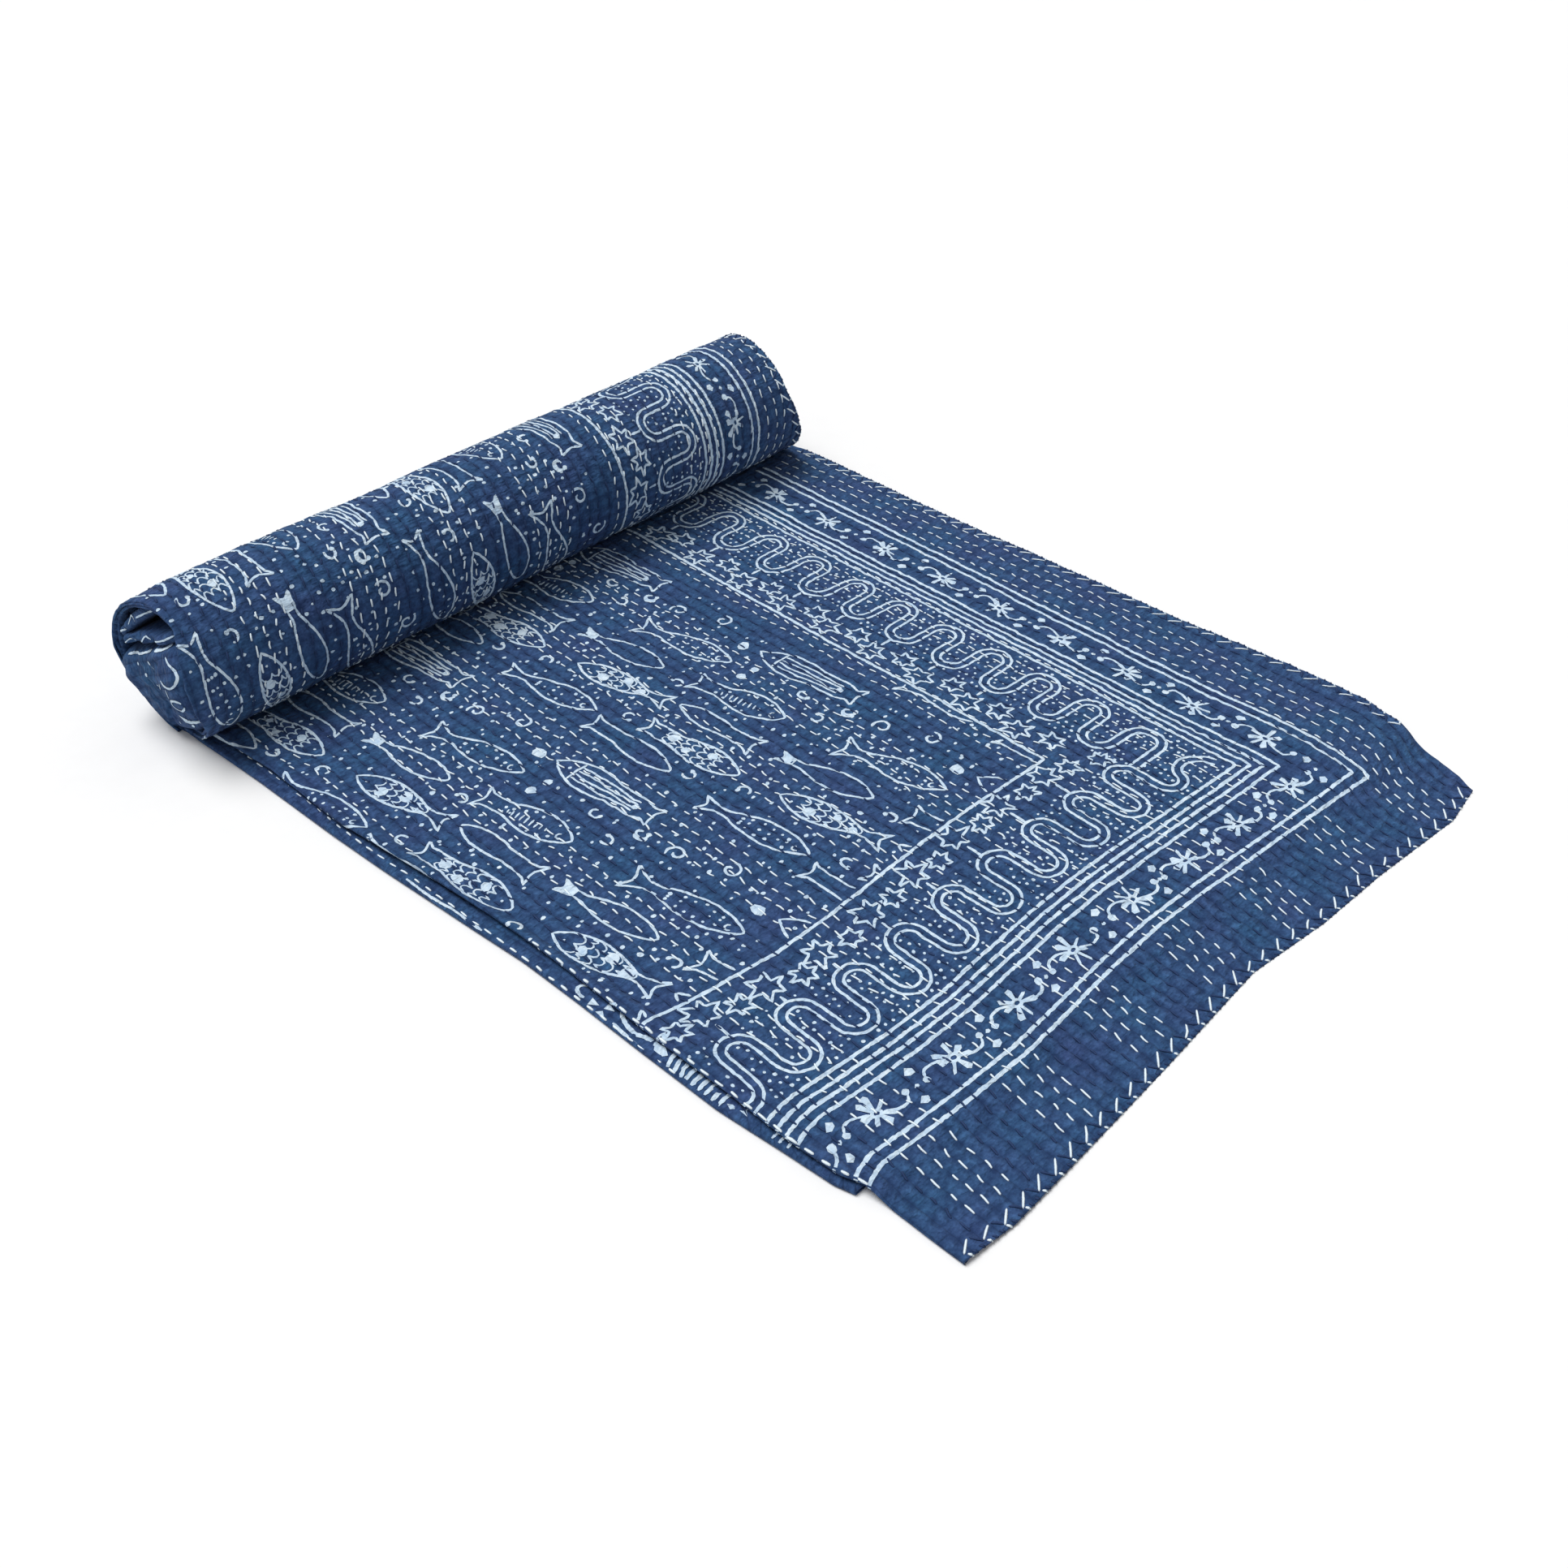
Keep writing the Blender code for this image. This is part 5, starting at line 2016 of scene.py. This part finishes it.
def fold_print(face: FlatFace) -> BlockPrint:
    """The parts of motifs that show on the low fold's strip beside the top layer.

    Args:
        face: The strip's face.

    Returns:
        The print.
    """
    sheet = BlockPrint(60)

    def lay(points: Spots) -> Path:
        """Moves places onto the strip.

        Args:
            points: Places as loops inside the fold and loops along it.

        Returns:
            The places on the cloth.
        """
        path = np.array(points, float)
        path[:, 0] += face.left(path[:, 1] * LOOP) / LOOP
        return path

    sheet.line(lay(curl(0.17, 4.5, 0.09, 0.13, np.linspace(0.2, 3.6, 10))), 0.05)
    for petal in (((0.04, 4.32), (0.16, 4.36), (0.13, 4.2)), ((0.03, 4.16), (0.1, 4.1), (0.02, 3.98)),
                  ((0.13, 4.12), (0.24, 4.14), (0.19, 3.98))):
        sheet.patch(lay(petal))
    sheet.line(lay(smooth(((0.24, 3.92), (0.15, 3.74), (0.13, 3.52), (0.19, 3.3), (0.14, 3.08)))), 0.06)
    sheet.line(lay(smooth(((0.05, 3.86), (0.03, 3.62), (0.06, 3.38), (0.04, 3.16)))), 0.036)
    sheet.patch(lay(((0.09, 3.2), (0.2, 3.24), (0.22, 3.1), (0.15, 2.98), (0.08, 3.06))))
    for bar in range(9):
        place, turn = 2.92 - 0.112 * bar, 0.015 if bar > 2 else 0.06
        sheet.line(lay(((0.03, place - turn), (0.14, place), (0.27, place + 0.5 * turn))), 0.056)
    sheet.patch(lay(((0.06, 1.84), (0.13, 1.77), (0.11, 1.64), (0.18, 1.72), (0.25, 1.68), (0.21, 1.79),
                     (0.25, 1.89), (0.17, 1.86), (0.11, 1.95))))
    sheet.line(lay(((0.16, 1.6), (0.12, 1.47), (0.05, 1.42))), 0.045)
    for place in (1.34, 1.22, 1.12, 1.0):
        sheet.line(lay(((0.04, place), (0.24, place + 0.03))), 0.045)
    sheet.line(lay(smooth(((0.03, 6.3), (0.05, 6.8), (0.03, 7.3), (0.05, 7.8)))), 0.034)
    return sheet


def tuck_print(face: TuckedFace) -> BlockPrint:
    """A hook, a curl, small strokes and dots that show on the large fold at the roll's end.

    Args:
        face: The fold's face.

    Returns:
        The print.
    """
    sheet = BlockPrint(84)
    hook = ((0.56, 0.24), (0.66, 0.12), (0.72, 0.0), (0.64, -0.12), (0.46, -0.1), (0.36, -0.02))
    sheet.line(face.spots(smooth(hook)), 0.037)
    sheet.line(face.spots(curl(0.47, -0.38, 0.13, 0.085, np.linspace(0.3, 5.9, 18))), 0.036)
    for stroke, width in ((((0.02, -0.08), (0.12, -0.16), (0.22, -0.13), (0.26, -0.06)), 0.032),
                          (((-0.55, 0.34), (-0.2, 0.32), (0.1, 0.345)), 0.028),
                          (((0.25, 0.34), (0.45, 0.32), (0.6, 0.345)), 0.028)):
        sheet.line(face.spots(smooth(stroke)), width)
    for aside, rise, radius in ((0.1, 0.22, 0.036), (0.3, 0.18, 0.03), (-0.12, 0.06, 0.03),
                                (0.2, -0.3, 0.026), (0.16, -0.48, 0.03), (0.78, -0.3, 0.03),
                                (-0.34, 0.2, 0.026), (0.0, -0.66, 0.026), (0.3, -0.72, 0.034)):
        sheet.dot(*face.spots(((aside, rise),))[0], radius)
    sheet.line(face.spots(smooth(((0.18, -0.54), (0.36, -0.66), (0.52, -0.76)))), 0.05)
    for aside, rise in ((0.11, 0.11), (0.42, -0.2), (0.6, -0.6)):  # its few running stitches
        stitch = ((aside, rise + 0.06), (aside + 0.01, rise), (aside, rise - 0.06))
        sheet.line(face.spots(smooth(stitch)), 0.02)
    return sheet


def ridge_print(face: TuckedFace, seed: int) -> BlockPrint:
    """Broken strokes along a narrow fold.

    Args:
        face: The fold's face.
        seed: Seed of their places.

    Returns:
        The print.
    """
    sheet = BlockPrint(seed)
    middle = 0.5 * (face.top + face.bottom)
    for start, end in ((-0.62, -0.22), (-0.05, 0.12), (0.2, 0.62)):
        rises = middle + sheet.random.uniform(-0.05, 0.05, 4)
        sheet.line(face.spots(smooth(np.stack((np.linspace(start, end, 4), rises), -1))), 0.026)
    return sheet


class ThreadColour(Enum):
    """The two threads of the quilting."""

    WHITE = "white"
    NAVY = "navy"


@dataclass
class Thread:
    """Collects stitches: short lengths of thread that lie on a face and dive in at their ends."""

    colour: ThreadColour
    paths: list[Array] = field(default_factory=list)

    def add(self, start: Array, end: Array, bow: float = 0.0) -> None:
        """Adds a stitch between two places on the cloth.

        Args:
            start: Where it comes out.
            end: Where it goes in.
            bow: How far its middle bends aside.
        """
        along = end - start
        side = left_of(along) / max(float(np.linalg.norm(along)), 1e-9)
        shares = np.array((0.0, 0.14, 0.5, 0.86, 1.0))[:, None]
        curve = 4.0 * shares * (1.0 - shares) * bow
        self.paths.append(start + along * shares + side * curve)


@dataclass(frozen=True)
class ThreadWork:
    """Lays stitches on a face as small round threads."""

    face: Face
    half_width: float = 0.78 * MM
    height: float = 0.52 * MM
    lifts: tuple[float, ...] = (-0.2 * MM, 0.16 * MM, 0.34 * MM, 0.16 * MM, -0.2 * MM)
    fullness: tuple[float, ...] = (0.0, 0.85, 1.0, 0.85, 0.0)
    ring: Spots = ((1.0, 0.0), (0.0, 1.0), (-1.0, 0.0), (0.0, -0.6))  # aside and up

    def lay(self, thread: Thread, piece: Piece) -> None:
        """Adds the stitches of one thread to a piece.

        Args:
            thread: The stitches.
            piece: The piece that takes them.
        """
        paths = np.array(thread.paths)  # stitches, 5 stations, x and y
        side = unit(left_of(paths[:, -1] - paths[:, 0]))
        rings = []
        for station in (1, 2, 3, 0, 4):
            full, lift = self.fullness[station], self.lifts[station]
            for aside, up in self.ring if full else ((0.0, 0.0),):
                place = paths[:, station] + side * aside * full * self.half_width
                rings.append(lifted(self.face, *place.T, lift + up * full * self.height))
        turns = [(corner, (corner + 1) % 4) for corner in range(4)]
        faces = [(ring + corner, ring + 4 + corner, ring + 4 + after, ring + after)
                 for ring in (0, 4) for corner, after in turns]
        for corner, after in turns:
            faces += [(12, corner, after, -1), (13, 8 + after, 8 + corner, -1)]
        pattern = np.array(faces)[None]
        start = (np.arange(len(paths)) * len(rings))[:, None, None]
        every = np.where(pattern < 0, -10 ** 9, pattern + start).reshape(-1, 4)
        cloth = np.repeat(paths[:, 2], len(rings), axis=0)
        aside = np.tile(np.linspace(-1.0, 1.0, len(rings)), len(paths))
        piece.add(np.stack(rings, 1).reshape(-1, 3), every, cloth + aside[:, None] * self.half_width)


@dataclass(frozen=True)
class RunningStitches:
    """The stitches on one face: running rows, four white and then four navy, and the edge's."""

    face: FlatFace | RollFace
    white_rows: int = 4
    group: int = 8
    first_white: int = -50
    lengths: tuple[float, float] = (0.74, 1.2)  # least and greatest share of a stitch's length
    dash_shares: tuple[float, float] = (0.5, 0.74)  # the same for dashes, as shares of their pitch
    slant: float = 0.8 * MM  # how far a stitch strays from its row's direction
    lean: float = 1.0 * MM  # and how far all of them lean
    near_lean: float = 1.5 * MM  # the same on the flat face, but only near its edge
    bow: float = 0.35 * MM
    stray: float = 0.3 * MM  # the same for dashes and the hem
    hem_pitch: float = 0.31 * LOOP
    hem_band: Spots = ((0.03, 0.17), (0.07, 0.23))  # least and greatest low and high side, in loops
    whip_in: float = 0.05 * LOOP  # how far in the whipped edge's stitches start
    whip_out: float = 0.9 * MM  # and how far out they end

    def sew(self, rows: Iterable[int], start: float, end: float, seed: int) -> tuple[Thread, Thread]:
        """Sews the rows.

        Args:
            rows: Numbers of the rows.
            start: Where the rows start, along the cloth.
            end: Where they end.
            seed: Seed of the hand-made unevenness.

        Returns:
            The white stitches and the navy ones.
        """
        random = np.random.default_rng(seed)
        white, navy = Thread(ThreadColour.WHITE), Thread(ThreadColour.NAVY)
        samples, cloth = np.linspace(start, end, 400), self.face.cloth
        for row in rows:
            thread = white if (row - self.first_white) % self.group < self.white_rows else navy
            phase = cloth.row_phase(row, samples)
            numbers = np.arange(math.ceil(phase[0]), math.floor(phase[-1]))
            share = cloth.stitch_share * random.uniform(*self.lengths, len(numbers))
            begin = np.interp(numbers, phase, samples)
            finish = np.interp(numbers + share, phase, samples)
            lean = self.near_lean * eased(-begin / (0.6 * LOOP)) if start < 0.0 else self.lean
            slant = random.normal(0.0, self.slant, len(numbers)) + lean
            x0 = cloth.row_x(row, begin) - 0.5 * slant
            x1 = cloth.row_x(row, finish) + 0.5 * slant
            bows = random.normal(0.0, self.bow, len(numbers))
            keep = self.face.shown(x0, begin) & self.face.shown(x1, finish)
            for place, after, bow in zip(np.stack((x0, begin), -1)[keep],
                                         np.stack((x1, finish), -1)[keep], bows[keep]):
                thread.add(place, after, float(bow))
        return white, navy

    def follow(self, thread: Thread, x: Array, y: Array, aside: Array | float, seed: int) -> None:
        """Sews one row of running stitches along a line.

        Args:
            thread: Takes the stitches.
            x: The line's places across the cloth.
            y: Its places along it.
            aside: How far to the right of the line the row runs.
            seed: Seed of the hand-made unevenness.
        """
        random = np.random.default_rng(seed)
        line = even_steps(np.stack((x + aside, y), -1), self.face.cloth.stitch_pitch)
        for start, after in zip(line, line[1:]):
            end = start + (after - start) * random.uniform(*self.dash_shares)
            thread.add(start, end + random.normal(0.0, self.stray, 2))

    def hem(self, white: Thread, navy: Thread, line: Path, inward: Array, seed: int) -> None:
        """Sews the edge: slanted white stitches crossed by navy ones, and a whipped edge.

        Args:
            white: Takes the white stitches.
            navy: Takes the navy ones.
            line: Places along the edge.
            inward: Direction from the edge into the cloth.
            seed: Seed of the hand-made unevenness.
        """
        random = np.random.default_rng(seed)
        line = even_steps(line, self.hem_pitch)
        for here, after in zip(line, line[1:]):
            along = after - here
            low, high = random.uniform(*self.hem_band) * LOOP
            white.add(here + low * inward, here + 0.66 * along + high * inward,
                      random.normal(0.0, self.stray))
            navy.add(here + 0.72 * along + high * inward, here + 1.05 * along + low * inward,
                     random.normal(0.0, self.stray))
            over = here + random.uniform(0.0, 0.2) * along
            white.add(over + self.whip_in * inward, over + 0.16 * along - self.whip_out * inward)
            for share in (0.35, 0.7):
                over = here + share * along
                navy.add(over + self.whip_in * inward, over + 0.16 * along - self.whip_out * inward)


@dataclass(frozen=True)
class Studio:
    """Plain pale floor, soft light, and the camera."""

    camera_place: Vector = Vector((-0.912659, -0.350155, 0.698826))  # from the border's corner
    camera_back: Vector = Vector((-0.55324772, -0.55227813, 0.62362315))
    camera_right: Vector = Vector((0.70648635, -0.70772667, 0.0))
    camera_roll: float = 0.0159831957
    lens: float = 38.374
    sensor: float = 36.0
    floor_size: float = 14.0
    sun_from: Vector = Vector((-0.16, 0.36, 1.0))  # where the soft key light comes from
    sun_strength: float = 2.45
    sun_angle: float = math.radians(40.0)
    sky_strength: float = 0.4

    def camera(self) -> None:
        """Makes the camera at the photograph's viewing angle."""
        up = self.camera_back.cross(self.camera_right)
        cosine, sine = math.cos(self.camera_roll), math.sin(self.camera_roll)
        side = self.camera_right * cosine + up * sine
        top = up * cosine - self.camera_right * sine
        data = bpy.data.cameras.new("camera")
        data.lens = self.lens
        data.sensor_width = self.sensor
        data.clip_start = 0.01
        camera = bpy.data.objects.new("camera", data)
        turned = Matrix((side, top, self.camera_back)).transposed().to_4x4()
        camera.matrix_world = Matrix.Translation(CORNER + self.camera_place) @ turned
        bpy.context.scene.collection.objects.link(camera)
        bpy.context.scene.camera = camera

    def key_light(self) -> None:
        """Hangs the large soft light."""
        data = bpy.data.lights.new("key", "SUN")
        data.energy = self.sun_strength
        data.angle = self.sun_angle
        lamp = bpy.data.objects.new("key", data)
        lamp.rotation_euler = (-self.sun_from).to_track_quat("-Z", "Y").to_euler()
        bpy.context.scene.collection.objects.link(lamp)

    def floor(self) -> None:
        """Makes the floor."""
        half = 0.5 * self.floor_size
        mesh = bpy.data.meshes.new("floor")
        mesh.from_pydata([(-half, -half, 0), (half, -half, 0), (half, half, 0), (-half, half, 0)],
                         [], [(0, 1, 2, 3)])
        material = bpy.data.materials.new("pale floor")
        material.use_nodes = True
        wire = Wiring(material.node_tree)
        shader = material.node_tree.nodes["Principled BSDF"]
        place = wire.node("TexCoord").outputs["Object"]
        grain = wire.node("TexNoise", Vector=place, Scale=60.0, Detail=3.0)
        wire.feed(shader.inputs["Base Color"],
                  wire.mix(grain.outputs["Fac"], (0.9, 0.9, 0.9, 1.0), (0.93, 0.93, 0.93, 1.0)))
        shader.inputs["Roughness"].default_value = 0.9
        mesh.materials.append(material)
        floor = bpy.data.objects.new("floor", mesh)
        bpy.context.scene.collection.objects.link(floor)

    def set_up(self) -> None:
        """Makes the floor, the light, the sky and the camera."""
        self.camera()
        self.floor()
        self.key_light()
        world = bpy.data.worlds.new("studio")
        world.use_nodes = True
        world.node_tree.nodes["Background"].inputs["Color"].default_value = (1.0, 1.0, 1.0, 1.0)
        world.node_tree.nodes["Background"].inputs["Strength"].default_value = self.sky_strength
        bpy.context.scene.world = world
        bpy.context.scene.view_settings.view_transform = "Standard"


def settle(piece: Object) -> Object:
    """Makes a piece ride with the quilt.

    Args:
        piece: The piece.

    Returns:
        The same piece.
    """
    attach(piece, "root")
    triangles = sum(len(face.vertices) - 2 for face in piece.data.polygons)
    LOG.info("%s: %d triangles", piece.name, triangles)
    return piece


FOLD_PRINT_LIFT = 0.4 * MM  # prints lie higher on the small folds, which are curved more
FOLD_ROW = Profile(  # how far inside the low fold its row of dashes runs
    ("y", "loops"),
    ((0.125, 0.03), (0.25, 0.03), (0.28, 0.06), (0.32, 0.09), (0.37, 0.13), (0.41, 0.12),
     (0.46, 0.17), (0.51, 0.2), (0.56, 0.24)))
LEFTWARDS, ALONG = np.array((-1.0, 0.0)), np.array((0.0, 1.0))


def sew(flat: FlatFace, fold: FlatFace, rolled: RollFace) -> dict[ThreadColour, Piece]:
    """Sews the faces that show.

    Args:
        flat: The top layer's face.
        fold: The low fold's.
        rolled: The roll's.

    Returns:
        The stitches of each thread.
    """
    flat_sewing, roll_sewing = RunningStitches(flat), RunningStitches(rolled)
    flat_threads = flat_sewing.sew(range(-62, 8), start=-0.07, end=0.598, seed=8)
    y = np.linspace(-0.002, 0.262, 40)
    flat_sewing.follow(flat_threads[0], flat.left(y), y, 0.015 * LOOP, 21)
    y = np.linspace(0.012, 0.59, 60)
    flat_sewing.hem(*flat_threads, np.stack((flat.right(y), y), -1), LEFTWARDS, 22)
    across = np.linspace(0.005, 0.995, 60)
    x = flat.right(-0.05) + across * (flat.left(-0.06) - flat.right(-0.05))
    near = np.stack((x, flat.packet.near_edge(1, across)), -1)[::-1]
    flat_sewing.hem(*flat_threads, near, ALONG, 23)
    roll_threads = roll_sewing.sew(range(-62, 3), start=0.19, end=0.45, seed=9)
    wound = np.linspace(0.4, 5.9, 60)
    edge = np.stack((rolled.roll.right_end(wound), rolled.along(wound)), -1)[::-1]
    roll_sewing.hem(*roll_threads, edge, LEFTWARDS, 24)
    dashes = Thread(ThreadColour.WHITE)
    y = np.linspace(0.125, 0.575, 70)
    RunningStitches(fold).follow(dashes, fold.left(y), y, FOLD_ROW.at("loops", y) * LOOP, 25)
    sewn = {colour: Piece("quilt-stitches-" + colour.value) for colour in ThreadColour}
    for face, threads in ((flat, flat_threads), (rolled, roll_threads), (fold, (dashes,))):
        for thread in threads:
            ThreadWork(face).lay(thread, sewn[thread.colour])
    return sewn


def main() -> None:
    """Builds the studio and the quilt."""
    logging.basicConfig(level=logging.INFO, format="%(name)s: %(message)s", stream=sys.stdout)
    Studio().set_up()
    groups = {SharedGroup.WEAVE: weave_group(), SharedGroup.MOTTLE: mottle_group(),
              SharedGroup.QUILTING: quilting_group()}
    indigo = INDIGO.make(groups)

    packet = Packet()
    roll = Roll(packet)
    flat, rolled = FlatFace(packet), RollFace(roll)
    fold = FlatFace(packet, layer=3, fold="low_fold", strip=26 * MM)
    cloth = settle(FoldedSheet(roll).build(indigo))
    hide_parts("quilt")
    for panel in (FacePanel(flat, "quilt-top", spacing=2.06 * MM),
                  FacePanel(fold, "quilt-low-fold", spacing=2.0 * MM, width=fold.strip)):
        settle(panel.build(*panel.flat_grid(), indigo))
    panel = FacePanel(rolled, "quilt-roll-face", spacing=1.8 * MM)
    settle(panel.build(*panel.roll_grid(start=0.12, end=6.08), indigo))
    front = TuckedFace(roll, top=0.4, bottom=-0.88, reach=6 * MM, rough=1.8 * MM, outer=0.88,
                       back=0.07)
    middle = TuckedFace(roll, top=0.6, bottom=0.43, reach=1 * MM, rough=3.0 * MM, outer=0.88,
                        tilt=math.radians(19.0), waver=0.09)
    top = TuckedFace(roll, top=0.83, bottom=0.66, reach=0.0, rough=3.2 * MM, outer=0.93,
                     tilt=math.radians(38.0), waver=0.08)
    for name, tuck in (("front", front), ("middle", middle), ("top", top)):
        settle(tuck.build("quilt-tuck-" + name, indigo))

    ink = UNDYED_PRINT.make(groups)
    for name, layer, sheet in (
            ("flat", PrintedLayer(flat), FLAT_PRINT.draw()),
            ("roll", PrintedLayer(rolled, shift_x=rolled.print_x), ROLL_PRINT.draw()),
            ("fold", PrintedLayer(fold, lift=FOLD_PRINT_LIFT), fold_print(fold)),
            ("front", PrintedLayer(front, lift=FOLD_PRINT_LIFT), tuck_print(front)),
            ("middle", PrintedLayer(middle, lift=FOLD_PRINT_LIFT), ridge_print(middle, 83)),
            ("top", PrintedLayer(top, lift=FOLD_PRINT_LIFT), ridge_print(top, 86))):
        settle(layer.build(sheet, "quilt-print-" + name, ink))
    sewn = sew(flat, fold, rolled)
    for colour, finish in ((ThreadColour.WHITE, WHITE_THREAD), (ThreadColour.NAVY, NAVY_THREAD)):
        settle(sewn[colour].build(finish.make(groups)))

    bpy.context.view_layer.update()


if __name__ == "__main__":
    main()
